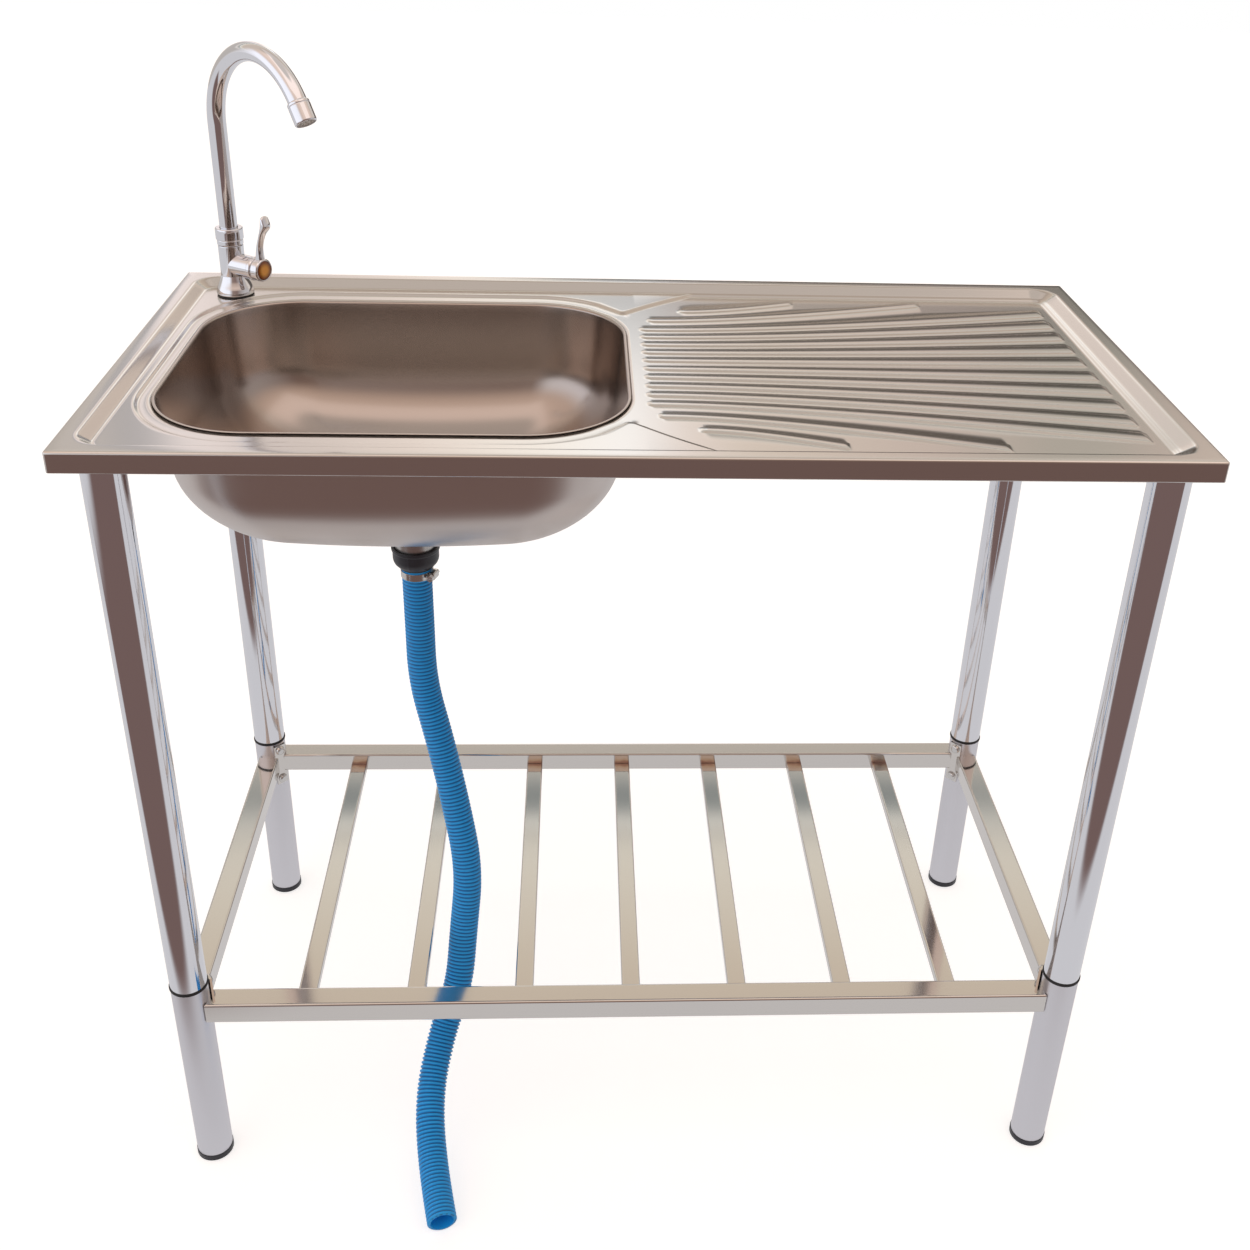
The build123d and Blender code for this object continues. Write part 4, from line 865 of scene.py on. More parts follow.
def flare_slant(x):
    """Cosine of the flare's slant, 1 where the drainer has its full width."""
    return 0.74 + 0.26 * fade((x - FLARE[2][0] + 20.0) / 24.0)


def rib_lines(x, rib):
    """Centre and half width of a rib at x. The centre bends as t^2 of its Bezier parameter t."""
    (nose_x, nose_y), (end_x, end_y), end_width = rib
    start = nose_x + NOSE_WIDTH / 2
    share = np.clip((x - start) / (end_x - start), 0, 1)
    a, b = 1 - 2 * RIB_BEND, 2 * RIB_BEND
    t = (np.sqrt(b * b + 4 * a * share) - b) / (2 * a)
    return nose_y + t * t * (end_y - nose_y), (NOSE_WIDTH + (end_width - NOSE_WIDTH) * share) / 2


def rib_distance(x, y, rib):
    """Signed distance to a rib's outline: a round nose, its two sides and a far end with small corners."""
    (nose_x, nose_y), (end_x, _), _ = rib
    start = nose_x + NOSE_WIDTH / 2
    centre, half = rib_lines(x, rib)
    corner = RIB_END_CORNER
    side, far = np.abs(y - centre) - half + corner, x - end_x + corner
    body = np.hypot(np.maximum(side, 0), np.maximum(far, 0)) + np.minimum(np.maximum(side, far), 0) - corner
    return np.where(x < start, np.hypot(x - start, y - nose_y) - NOSE_WIDTH / 2, body)


def pan_distance(x, y):
    """Signed distance to the ledge joined with the drainer, their inner corners rounded."""
    ledge = box_distance(x - BOWL_X, y, LEDGE_HALF, LEDGE_CORNER)
    side = (np.abs(y) - flare_half(x)) * flare_slant(x)
    far = box_distance(x - (DRAINER_END - 400.0), y, (400.0, DRAINER_HALF), DRAINER_CORNER)
    drainer = np.maximum(np.maximum(side, far), NECK_X - x)
    overlap = np.maximum(PAN_BLEND - np.abs(ledge - drainer), 0) / PAN_BLEND
    return np.minimum(ledge, drainer) - overlap ** 2 * PAN_BLEND / 4


def pressing_height(x, y, sizes):
    """Height of the pressed sheet: the rim, less the recess, less the ledge and drainer, plus the ribs."""
    recess = box_distance(x, y, (HALF_X - RECESS_BORDER, HALF_Y - RECESS_BORDER), RECESS_CORNER)
    height = RIM_Z - sizes.recess_depth * fold(-recess / RECESS_RUN, 0.13)
    height = height - sizes.pan_depth * fold(-pan_distance(x, y) / PAN_RUN, 0.32)
    for rib in LONG_RIBS + OUTER_RIBS:
        lift = fold(0.5 - rib_distance(x, np.abs(y), rib) / sizes.rib_flank, 0.25)
        height = height + sizes.rib_height * lift
    return height


def row_lines(x, flank):
    """Y of the drainer's mesh rows for y > 0, one row of values per line: both flanks and the crown of each
    rib, the valleys between, the flare or side of the drainer, then the recess's wall and the rim. The rows
    are kept in order, so where a rib has ended its lines are squeezed against the drainer's side."""
    rows = [0 * x]
    for rib in LONG_RIBS + OUTER_RIBS:
        centre, half = rib_lines(x, rib)
        low = [centre - half + share * flank for share in FLANK_LINES]
        high = [centre + half + share * flank for share in FLANK_LINES]
        rows += [(rows[-1] + low[0]) / 2, *low, centre, *high]
    wall = HALF_Y - RECESS_BORDER - RECESS_RUN
    outer = [wall + step for step in RECESS_LINES] + [HALF_Y - RIM_EDGE]
    side = [flare_half(x) + step / flare_slant(x) for step in SIDE_LINES]
    side = [np.minimum(row, outer[0] - 0.1 * (len(side) - k)) for k, row in enumerate(side)]
    rows.append((rows[-1] + side[0]) / 2)
    for k in range(1, len(rows)):
        rows[k] = np.maximum(rows[k], rows[k - 1] + ROW_GAP)
    rows += side
    for k in range(len(rows) - len(side) - 1, 0, -1):
        rows[k] = np.minimum(rows[k], rows[k + 1] - ROW_GAP)
    return np.array(rows + [0 * x + value for value in outer]), len(outer)


def polar_radius(angle, half, corner):
    """Distance from the centre to a rounded rectangle along each angle, by halving the interval 26 times."""
    cosine, sine = np.cos(angle), np.sin(angle)
    low, high = np.zeros_like(angle), np.full_like(angle, half[0] + half[1])
    for _ in range(26):
        middle = (low + high) / 2
        inside = box_distance(middle * cosine, middle * sine, half, corner) < 0
        low, high = np.where(inside, middle, low), np.where(inside, high, middle)
    return (low + high) / 2


class SINK_OT_worktop(bpy.types.Operator):
    """Pressed worktop: rim and skirt, recess, bowl ledge and ribbed drainer"""

    bl_idname = "sink_unit.worktop"
    bl_label = "Worktop"

    def execute(self, context):
        sizes = context.scene.sink_sizes
        half_rows, outer_count = row_lines(self.columns(), sizes.rib_flank)
        rows = np.concatenate([-half_rows[:0:-1], half_rows])
        columns = self.columns()
        drainer = np.stack([np.broadcast_to(columns, rows.shape), rows], axis=-1)
        seam = drainer[:, 0]
        inner_seam = seam[outer_count - 1:len(seam) - outer_count + 1]
        band, inner_loop = self.left_band(seam, outer_count)
        ring = self.bowl_rings(np.concatenate([inner_loop, inner_seam[1:-1]]))
        surfaces = [surface(self.lifted(part, sizes), wrap_columns=wrap)
                    for part, wrap in ((drainer.transpose(1, 0, 2), False), (band, False), (ring, True))]
        surfaces.append(self.skirt(columns, rows[:, -1], band[-1]))
        surfaces = [self.facing_up(part) for part in surfaces[:3]] + [surfaces[3]]
        add_piece("worktop_pressing", surfaces, finish("worktop"), "frame", ["worktop"],
                  sharp=80.0, wall=sizes.sheet, closed=True)
        return {"FINISHED"}

    def columns(self):
        """X of the drainer's mesh columns: close at the noses, the ends and the recess's wall."""
        noses_end = 26.0
        flare_end = FLARE[2][0] + 6
        long_end, outer_end, short_end = (ribs[0][1][0] for ribs in (LONG_RIBS, OUTER_RIBS, OUTER_RIBS[1:]))
        recess_end = HALF_X - RECESS_BORDER + 3
        stops = [SEAM_X, noses_end, flare_end, short_end - 8, short_end + 6, outer_end - 8, outer_end + 6,
                 long_end - 10, recess_end, HALF_X - RIM_EDGE]
        counts = (18, 18, 12, 10, 14, 10, 13, 33, 3)
        return np.concatenate([np.linspace(a, b, n, endpoint=False)
                               for a, b, n in zip(stops, stops[1:], counts)] + [stops[-1:]])

    def left_band(self, seam, count):
        """Lines round the left end, from the inner loop to the rim. Each line follows the recess's outline at
        its own distance from it; beyond the recess its corners turn square."""
        top = seam[-count:, 1]
        offsets = top - (HALF_Y - RECESS_BORDER)
        corner_x, corner_y = -(HALF_X - RECESS_BORDER - RECESS_CORNER), HALF_Y - RECESS_BORDER - RECESS_CORNER
        straight = np.linspace(SEAM_X, corner_x, 70)[:-1]
        side = np.linspace(corner_y, -corner_y, 64)[1:-1]
        arc = np.radians(np.linspace(90, 180, 17))
        lines = []
        for distance in offsets:
            share = np.clip((distance + 1) / (RECESS_BORDER - RIM_EDGE), 0, 1)
            radius = RECESS_CORNER + distance
            square = np.maximum(np.abs(np.cos(arc)), np.abs(np.sin(arc))) ** share
            turn = np.stack([corner_x + radius * np.cos(arc) / square,
                             corner_y + radius * np.sin(arc) / square], axis=-1)
            first = np.stack([straight, 0 * straight + corner_y + radius], axis=-1)
            left = np.stack([0 * side + corner_x - radius, side], axis=-1)
            half = np.concatenate([first, turn])
            lines.append(np.concatenate([half, left, half[::-1] * (1, -1)]))
        return np.array(lines), lines[0]

    def bowl_rings(self, loop):
        """Rings from the bowl's opening over the ledge to the inner loop, along rays from the bowl's axis."""
        centre = np.array([BOWL_X, 0.0])
        angle = np.arctan2(loop[:, 1], loop[:, 0] - BOWL_X)
        ray = np.stack([np.cos(angle), np.sin(angle)], axis=-1)
        outer = np.linalg.norm(loop - centre, axis=1)
        joint_half = (OPENING_HALF[0] + JOINT_OUTSET, OPENING_HALF[1] + JOINT_OUTSET)
        opening = polar_radius(angle, joint_half, OPENING_CORNER + JOINT_OUTSET)
        top = np.minimum(polar_radius(angle, LEDGE_HALF, LEDGE_CORNER), outer * 0.997)
        foot = np.minimum(polar_radius(angle, (LEDGE_HALF[0] - PAN_RUN, LEDGE_HALF[1] - PAN_RUN),
                                       LEDGE_CORNER - PAN_RUN), top * 0.995)
        rings = [opening + (foot - opening) * share for share in (0, 0.5, 0.86)]
        rings += [foot + (top - foot) * share for share in (0.0, 0.2, 0.4, 0.6, 0.8, 1.0)]
        rings += [top + (outer - top) * share
                  for share in (0.05, 0.1, 0.17, 0.25, 0.34, 0.44, 0.55, 0.66, 0.76, 0.85, 0.93, 1.0)]
        return centre + np.array(rings)[..., None] * ray

    def lifted(self, plan, sizes):
        """Plan points with the pressing's height."""
        height = pressing_height(plan[..., 0], plan[..., 1], sizes)
        return np.concatenate([plan, height[..., None]], axis=-1)

    def facing_up(self, part):
        """Quads of a sheet turned so that their normals point up, by the sign of their area in plan."""
        points, faces = part
        a, b, c, d = (points[faces[:, k], :2] for k in range(4))
        first, second = c - a, d - b
        area = first[:, 0] * second[:, 1] - first[:, 1] * second[:, 0]
        return points, np.where(area[:, None] < 0, faces[:, ::-1], faces)

    def skirt(self, columns, right_rows, left_line):
        """Skirt carried round the rim: a rounded edge, a wall and a return lip, as offsets from the rim's
        flat. At a corner the outward direction sweeps a quarter turn."""
        x_edge, y_edge = HALF_X - RIM_EDGE, HALF_Y - RIM_EDGE
        split = np.argmin(np.abs(left_line[:len(left_line) // 2, 0] + x_edge)
                          + np.abs(left_line[:len(left_line) // 2, 1] - y_edge))
        mirrored = len(left_line) - 1 - split
        top = left_line[:split, :]
        left = left_line[split + 1:mirrored, :]
        bottom = left_line[mirrored + 1:, :]
        right = np.stack([0 * right_rows[1:-1] + x_edge, right_rows[1:-1]], axis=-1)
        inner_columns = columns[:-1]
        back = np.stack([inner_columns[::-1], 0 * inner_columns + y_edge], axis=-1)
        front = np.stack([inner_columns, 0 * inner_columns - y_edge], axis=-1)
        sides = [(np.concatenate([bottom[:-1], front]), -90), (right, 0),
                 (np.concatenate([back[:-1], top]), 90), (left, 180)]
        ends = [(x_edge, -y_edge), (x_edge, y_edge), (-x_edge, y_edge), (-x_edge, -y_edge)]
        points, angles = [], []
        for (line, angle), end in zip(sides, ends):
            points += [line, np.repeat([end], 9, axis=0)]
            angles += [np.full(len(line), angle), np.linspace(angle, angle + 90, 9)]
        points = np.concatenate(points)
        angles = np.radians(np.concatenate(angles))
        outward = np.stack([np.cos(angles), np.sin(angles)], axis=-1)
        turn = np.radians(np.linspace(0, 90, 7))
        bend = 1.2
        low_turn = np.radians(np.linspace(0, 90, 4))
        profile = np.concatenate([
            np.stack([RIM_EDGE * np.sin(turn), RIM_Z - RIM_EDGE + RIM_EDGE * np.cos(turn)], axis=-1),
            [(RIM_EDGE, RIM_Z - RIM_EDGE - 0.5), (RIM_EDGE, SKIRT_Z + bend + 0.5)],
            np.stack([RIM_EDGE - bend + bend * np.cos(low_turn), SKIRT_Z + bend - bend * np.sin(low_turn)],
                     axis=-1),
            [(RIM_EDGE - bend - 0.4, SKIRT_Z), (RIM_EDGE - SKIRT_RETURN, SKIRT_Z)]])
        plan = points + profile[:, 0, None, None] * outward
        height = np.broadcast_to(profile[:, 1, None, None], (*plan.shape[:2], 1))
        points, faces = surface(np.concatenate([plan, height], axis=-1), wrap_columns=True)
        return points, faces[:, ::-1]


# ------------------------------------------------------------------ bowl
BOWL_DRAFT = 5.0
# share of an inset by which the bowl's corners get tighter
CORNER_SHARE = 0.62
SEAT_RADIUS = 38.0
SEAT_DEPTH = 3.0
SEAT_BEND = 2.2
WASTE_HOLE = 22.25
# height of the waste's flange over the seat, and radius of the flat floor round the seat
FLANGE_HEIGHT = 2.0
FLAT_RADIUS = 62.0
# width over which the floor's dish fades out towards the flat part
DISH_FADE = 60.0
# the lip starts this far over the ledge
LIP_RISE = 0.03


def rounded_ring(half, corner, side=tuple(np.arange(14) / 14), arc=22):
    """Points of a rounded rectangle, counter-clockwise: arc points round each corner, then points at the
    shares of the side in between."""
    corner = max(corner, 0.0)
    turn = np.radians(np.linspace(0, 90, arc, endpoint=False))
    reach = np.array(half) - corner
    share = np.array(side)
    points = []
    for quarter in range(4):
        start = [(1, 1), (-1, 1), (-1, -1), (1, -1)][quarter]
        stop = [(-1, 1), (-1, -1), (1, -1), (1, 1)][quarter]
        angle = turn + quarter * np.pi / 2
        centre = reach * start
        bend = centre + corner * np.stack([np.cos(angle), np.sin(angle)], axis=-1)
        last = quarter * np.pi / 2 + np.pi / 2
        outset = corner * np.array([math.cos(last), math.sin(last)])
        line = (centre + outset) + (reach * stop - centre) * share[:, None]
        points.append(np.concatenate([bend, line]))
    return np.concatenate(points)


class SINK_OT_bowl(bpy.types.Operator):
    """Drawn bowl with a rolled lip, drafted walls, round floor and the waste's seat"""

    bl_idname = "sink_unit.bowl"
    bl_label = "Bowl"

    def execute(self, context):
        sizes = context.scene.sink_sizes
        ledge_z = RIM_Z - sizes.recess_depth - sizes.pan_depth
        floor_z = node_box("waste_body")[1][2] - FLANGE_HEIGHT + SEAT_DEPTH
        slope = math.tan(math.radians(BOWL_DRAFT))
        rings = []
        for inset, z in self.wall_profile(ledge_z, floor_z, slope, sizes):
            half = (OPENING_HALF[0] - inset, OPENING_HALF[1] - inset)
            ring = rounded_ring(half, OPENING_CORNER - inset * (CORNER_SHARE if inset > 0 else 1.0))
            rings.append(np.concatenate([ring, np.full((len(ring), 1), z)], axis=1))
        last = rings[-1][:, :2]
        angle = np.arctan2(last[:, 1], last[:, 0])
        circle = np.stack([np.cos(angle), np.sin(angle)], axis=-1)
        seat = soften([(FLAT_RADIUS, floor_z), (SEAT_RADIUS + SEAT_BEND, floor_z),
                       (SEAT_RADIUS - 0.4, floor_z - SEAT_DEPTH), (WASTE_HOLE, floor_z - SEAT_DEPTH)],
                      SEAT_BEND)
        for share in (0.2, 0.4, 0.6, 0.8, 0.95):
            plan = last * (1 - share) + FLAT_RADIUS * circle * share
            rings.append(np.concatenate([plan, np.full((len(plan), 1), floor_z)], axis=1))
        for radius, z in seat:
            rings.append(np.concatenate([radius * circle, np.full((len(circle), 1), z)], axis=1))
        points = np.array(rings)
        # the dish grows with the square of X, and fades out up the wall and towards the flat floor
        low = (ledge_z - points[..., 2]) / (ledge_z - floor_z)
        outer = (np.hypot(points[..., 0], points[..., 1]) - FLAT_RADIUS) / DISH_FADE
        dish = sizes.floor_dish * (points[..., 0] / OPENING_HALF[0]) ** 2
        points[..., 2] += dish * fade(low) * fade(outer)
        points += (BOWL_X, 0, 0)
        add_piece("bowl_drawn", [surface(points, wrap_columns=True)], finish("bowl"), "frame",
                  ["bowl"], sharp=80.0, wall=sizes.sheet, closed=False, flip=True)
        return {"FINISHED"}

    def wall_profile(self, ledge_z, floor_z, slope, sizes):
        """Inset from the opening and height, down the lip, the drafted wall and the floor's rounding."""
        lip = sizes.lip_radius
        start = -JOINT_OUTSET
        top = ledge_z + LIP_RISE
        profile = [(start - 0.9, ledge_z - 0.08), (start - 0.3, top), (start, top)]
        turn = np.radians(np.linspace(8, 90 - BOWL_DRAFT, 8))
        profile += [(start + lip * math.sin(a), top - lip + lip * math.cos(a)) for a in turn]
        lip_end, lip_z = profile[-1]
        radius = sizes.floor_radius
        bend = math.radians((90 - BOWL_DRAFT) / 2)
        reach = radius * math.tan(bend)
        floor_inset = lip_end + (lip_z - floor_z) * slope
        wall_z = floor_z + reach * math.cos(math.radians(BOWL_DRAFT))
        for z in np.linspace(lip_z, wall_z, 9)[1:]:
            profile.append((lip_end + (lip_z - z) * slope, z))
        centre_inset = floor_inset + reach
        for a in np.radians(np.linspace(90 - BOWL_DRAFT, 0, 22))[1:]:
            profile.append((centre_inset - radius * math.sin(a), floor_z + radius - radius * math.cos(a)))
        profile.append((centre_inset + 4.0, floor_z))
        return profile


# ------------------------------------------------------------------ legs
LEG_RADIUS = 19.0
LEG_WALL = 1.2
# the upper leg's plug in the lower one
PLUG_RADIUS = 17.55
PLUG_BORE = 16.3


class SINK_OT_legs(bpy.types.Operator):
    """Two-part tube legs with their rubber rings, foot caps and corner sockets"""

    bl_idname = "sink_unit.legs"
    bl_label = "Legs"

    def execute(self, context):
        inside = LEG_RADIUS - LEG_WALL
        for name, (side_x, side_y) in CORNERS.items():
            centre = (side_x * LEG_X, side_y * LEG_Y, 0)
            bottom, top = (corner[2] for corner in node_box(f"upper_leg_{name}"))
            joint = node_box(f"leg_ring_{name}")[1][2]
            foot, shoulder = (corner[2] for corner in node_box(f"lower_leg_{name}"))
            upper = soften([(inside, top), (LEG_RADIUS, top), (LEG_RADIUS, joint), (PLUG_RADIUS, joint),
                            (PLUG_RADIUS, bottom), (PLUG_BORE, bottom), (PLUG_BORE, top - 2)], 0.4, 3)
            add_piece(f"upper_leg_tube_{name}", [turned(upper, centre, segments=96, loop=True)],
                      finish("leg"), "frame", [f"upper_leg_{name}"])
            lower = soften([(inside, shoulder), (LEG_RADIUS, shoulder), (LEG_RADIUS, foot), (inside, foot)],
                           0.5, 3)
            add_piece(f"lower_leg_tube_{name}", [turned(lower, centre, segments=96, loop=True)],
                      finish("lower_leg"), "frame", [f"lower_leg_{name}"])
            dress([f"leg_ring_{name}"], finish("rubber"))
            dress([f"foot_cap_{name}"], finish("plastic"))
            dress([f"leg_socket_{name}"], finish("plain"))
        return {"FINISHED"}


# ------------------------------------------------------------------ shelf
RAIL_SIZE = 25.0
RAIL_CORNER = 2.2
RAIL_WALL = 1.2
SLAT_CORNER = 1.6
SLAT_WALL = 1.0
LEG_COPE = 20.0
# a tube has a second line of points this far from its end, which keeps the end's tilt off its sides
END_INSET = 1.0


def rounded_section(width, height, corner, arc=5):
    """Closed outline of a rounded rectangle about the origin, as (across, up) points."""
    return rounded_ring((width / 2, height / 2), corner, side=(0.0, 0.03, 0.97), arc=arc)


class SINK_OT_shelf(bpy.types.Operator):
    """Shelf: square-tube rails coped to the legs, flat slats, corner straps and bolts"""

    bl_idname = "sink_unit.shelf"
    bl_label = "Shelf"

    def execute(self, context):
        section = rounded_section(RAIL_SIZE, RAIL_SIZE, RAIL_CORNER)
        for name, side in (("front", -1), ("back", 1)):
            self.add_rail(f"shelf_rail_{name}", section, along=0, fixed=side * LEG_Y, reach=LEG_X)
        for name, side in (("left", -1), ("right", 1)):
            self.add_rail(f"shelf_rail_{name}", section, along=1, fixed=side * LEG_X, reach=LEG_Y)
        slats = sorted(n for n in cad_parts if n.startswith("shelf_slat_"))
        for name in slats:
            low, high = node_box(name)
            outline = rounded_section(high[0] - low[0], high[2] - low[2], SLAT_CORNER)
            stations = np.array([low[1], low[1] + END_INSET, high[1] - END_INSET, high[1]])
            points = np.zeros((len(stations), len(outline), 3))
            points[..., 0] = (low[0] + high[0]) / 2 + outline[:, 0]
            points[..., 1] = stations[:, None]
            points[..., 2] = (low[2] + high[2]) / 2 + outline[:, 1]
            add_piece(f"{name}_tube", [surface(points, wrap_columns=True)], finish("slat"), "frame",
                      [name], wall=SLAT_WALL)
        dress([f"corner_strap_{name}" for name in CORNERS], finish("shelf"))
        dress(["strap_bolts"], finish("bolt"))
        return {"FINISHED"}

    def add_rail(self, name, section, along, fixed, reach):
        """Square tube between two legs. Each end is coped: a line of the section at distance d from the leg's
        axis ends sqrt(cope^2 - d^2) short of it."""
        middle = sum(node_box(name)[k][2] for k in (0, 1)) / 2
        short = np.sqrt(LEG_COPE ** 2 - section[:, 0] ** 2)
        points = np.zeros((4, len(section), 3))
        for row, (sign, inset) in enumerate(((-1, 0.0), (-1, END_INSET), (1, END_INSET), (1, 0.0))):
            points[row, :, along] = sign * (reach - short - inset)
            points[row, :, 1 - along] = fixed + section[:, 0]
            points[row, :, 2] = middle + section[:, 1]
        add_piece(f"{name}_tube", [surface(points, wrap_columns=True)], finish("shelf"), "frame",
                  [name], wall=RAIL_WALL)


# ------------------------------------------------------------------ tap
SPOUT_HEADING = -45.0
SPOUT_RADIUS = 9.5
ARCH_RADIUS = 80.0
ARCH_TURN = 148.0
ARCH_Z = 1040.0
SPOUT_TAIL = 22.0
VALVE_HEADING = -32.6
VALVE_Z = node_centre("valve_bonnet")[2]
BODY_FOOT_Z = node_box("tap_base_seal")[1][2]
BODY_TOP_Z = node_box("spout_nut")[0][2]
NUT_TOP_Z = node_box("spout_nut")[1][2]
BOSS_RADIUS = 12.4
BOSS_REACH = 31.2
BONNET_RADIUS = 12.9
BONNET_LENGTH = 5.0
HUB_START = BOSS_REACH + BONNET_LENGTH + 0.4
HUB_LENGTH = 9.8
LEVER_HEIGHT = 60.0
# the lever's arm: shares of its height, both faces from the hub's middle along the valve, and its half width
LEVER_SHARES = (0.0, 0.35, 0.58, 0.76, 0.96)
LEVER_NEAR = (-4.3, -0.2, 4.6, 8.2, 9.6)
LEVER_FAR = (4.3, 4.2, 8.8, 15.6, 13.2)
LEVER_HALF_WIDTH = (4.6, 4.2, 4.8, 6.0, 5.2)
# outline of the tap's foot: radius and height over the base's edge
FOOT_RADII = (20.0, 19.2, 17.1, 15.0, 13.5)
FOOT_HEIGHTS = (0.0, 3.1, 7.5, 12.2, 17.0)
FOOT_EDGE = 3.0
SHANK_RADIUS = 10.4
SHANK_LENGTH = 40.0
NECK_RADIUS = 11.3
NECK_HEIGHT = 7.0
NUT_BORE = 9.8
NUT_RADIUS = 14.75
NUT_FOOT_RADIUS = 13.9
AERATOR_BORE = 9.7
AERATOR_RADIUS = 11.2
# the spout's foot in the nut, over the body's top, and how far its tube runs into the aerator
SPOUT_FOOT = 12.3
SPOUT_PLUG = 11.0
SPINDLE_HOLE = 4.3
HUB_RADIUS = 12.5
DISC_RADIUS = 9.9
# the lever's arm: its foot over the valve's axis, the share of its height from which its tip closes, its
# least half thickness, and the power of its section's cosine and sine
ARM_FOOT = 10.0
ARM_CLOSING = 0.93
ARM_LEAST_HALF = 1.5
ARM_POWER = 0.62


class SINK_OT_tap(bpy.types.Operator):
    """Tap: flared body with its side boss, gooseneck spout, nut and aerator"""

    bl_idname = "sink_unit.tap"
    bl_label = "Tap"

    def execute(self, context):
        axis = (TAP_X, TAP_Y, 0)
        foot, top = BODY_FOOT_Z, BODY_TOP_Z
        edge = foot + FOOT_EDGE
        rise = np.linspace(1.5, FOOT_HEIGHTS[-1], 9)
        flare = [(FOOT_RADII[0], foot), (FOOT_RADII[0], edge),
                 *zip(smooth_through(FOOT_HEIGHTS, FOOT_RADII, rise), edge + rise)]
        body = [(0, foot - SHANK_LENGTH), (SHANK_RADIUS, foot - SHANK_LENGTH), (SHANK_RADIUS, foot), *flare,
                (FOOT_RADII[-1], top), (NECK_RADIUS, top), (NECK_RADIUS, top + NECK_HEIGHT),
                (0, top + NECK_HEIGHT)]
        column = turned(soften(body, 0.8, 3), axis, segments=96)
        side = soften([(0, 2.0), (BOSS_RADIUS, 2.0), (BOSS_RADIUS, BOSS_REACH), (0, BOSS_REACH)], 0.7, 3)
        boss = turned(side, (TAP_X, TAP_Y, VALVE_Z), heading(VALVE_HEADING))
        add_piece("tap_body_cast", [column, boss], finish("tap"), "frame", ["tap_body"])
        nut = soften([(NUT_BORE, NUT_TOP_Z), (NUT_RADIUS - 0.35, NUT_TOP_Z), (NUT_RADIUS, NUT_TOP_Z - 3),
                      (NUT_RADIUS, top + 6.6), (NUT_FOOT_RADIUS - 0.2, top + 6.0),
                      (NUT_FOOT_RADIUS, top + 5.4), (NUT_FOOT_RADIUS, top + 0.2), (NUT_BORE, top + 0.2)], 1.3)
        add_piece("spout_nut_turned", [turned(nut, axis, segments=96, loop=True)], finish("tap"), "frame",
                  ["spout_nut"])
        path, end, direction = self.spout_path()
        radius = np.full(len(path), SPOUT_RADIUS)
        radius[[0, -1]] = 0.0
        spout = tube(path, radius, np.cross(heading(SPOUT_HEADING), (0, 0, 1)), segments=72)
        add_piece("spout_gooseneck", [spout], finish("tap"), "spout", ["tap_spout"])
        cap = soften([(AERATOR_BORE, 0), (AERATOR_RADIUS - 0.9, 0), (AERATOR_RADIUS, 1.2),
                      (AERATOR_RADIUS, 3.2), (AERATOR_RADIUS - 0.3, 3.6), (AERATOR_RADIUS - 0.3, 4.0),
                      (AERATOR_RADIUS, 4.4), (AERATOR_RADIUS, SPOUT_TAIL - 1.0),
                      (AERATOR_RADIUS - 0.6, SPOUT_TAIL), (AERATOR_BORE, SPOUT_TAIL)], 0.5, 3)
        add_piece("aerator_cap", [turned(cap, end, direction, loop=True)], finish("tap"), "spout",
                  ["aerator_housing"])
        dress(["aerator_insert"], finish("insert"))
        dress(["tap_base_seal", "spout_o_ring"], finish("rubber"))
        dress(["tap_washer"], finish("plain"))
        dress(["tap_lock_nut", "valve_cartridge", "valve_spindle"], finish("brass"))
        return {"FINISHED"}

    def spout_path(self):
        """Centre line of the spout: up the tap's axis, round the arch and down its tail. Its first two and
        last two points all but coincide, which closes the tube's ends flat."""
        ahead = heading(SPOUT_HEADING)
        up = np.array([0, 0, 1.0])
        foot = np.array([TAP_X, TAP_Y, 0])
        start, sliver = BODY_TOP_Z + SPOUT_FOOT, 0.0001
        riser = foot + up * np.array([[start], [start + sliver], [ARCH_Z - 80.0], [ARCH_Z - 40.0]])
        turn = np.radians(np.linspace(0, ARCH_TURN, 70))[:, None]
        arch = foot + up * (ARCH_Z + ARCH_RADIUS * np.sin(turn)) + ahead * ARCH_RADIUS * (1 - np.cos(turn))
        last = math.radians(ARCH_TURN)
        direction = ahead * math.sin(last) + up * math.cos(last)
        tail = arch[-1] + direction * np.array([[5.0], [SPOUT_PLUG], [SPOUT_PLUG + sliver]])
        return np.concatenate([riser, arch, tail]), arch[-1], direction


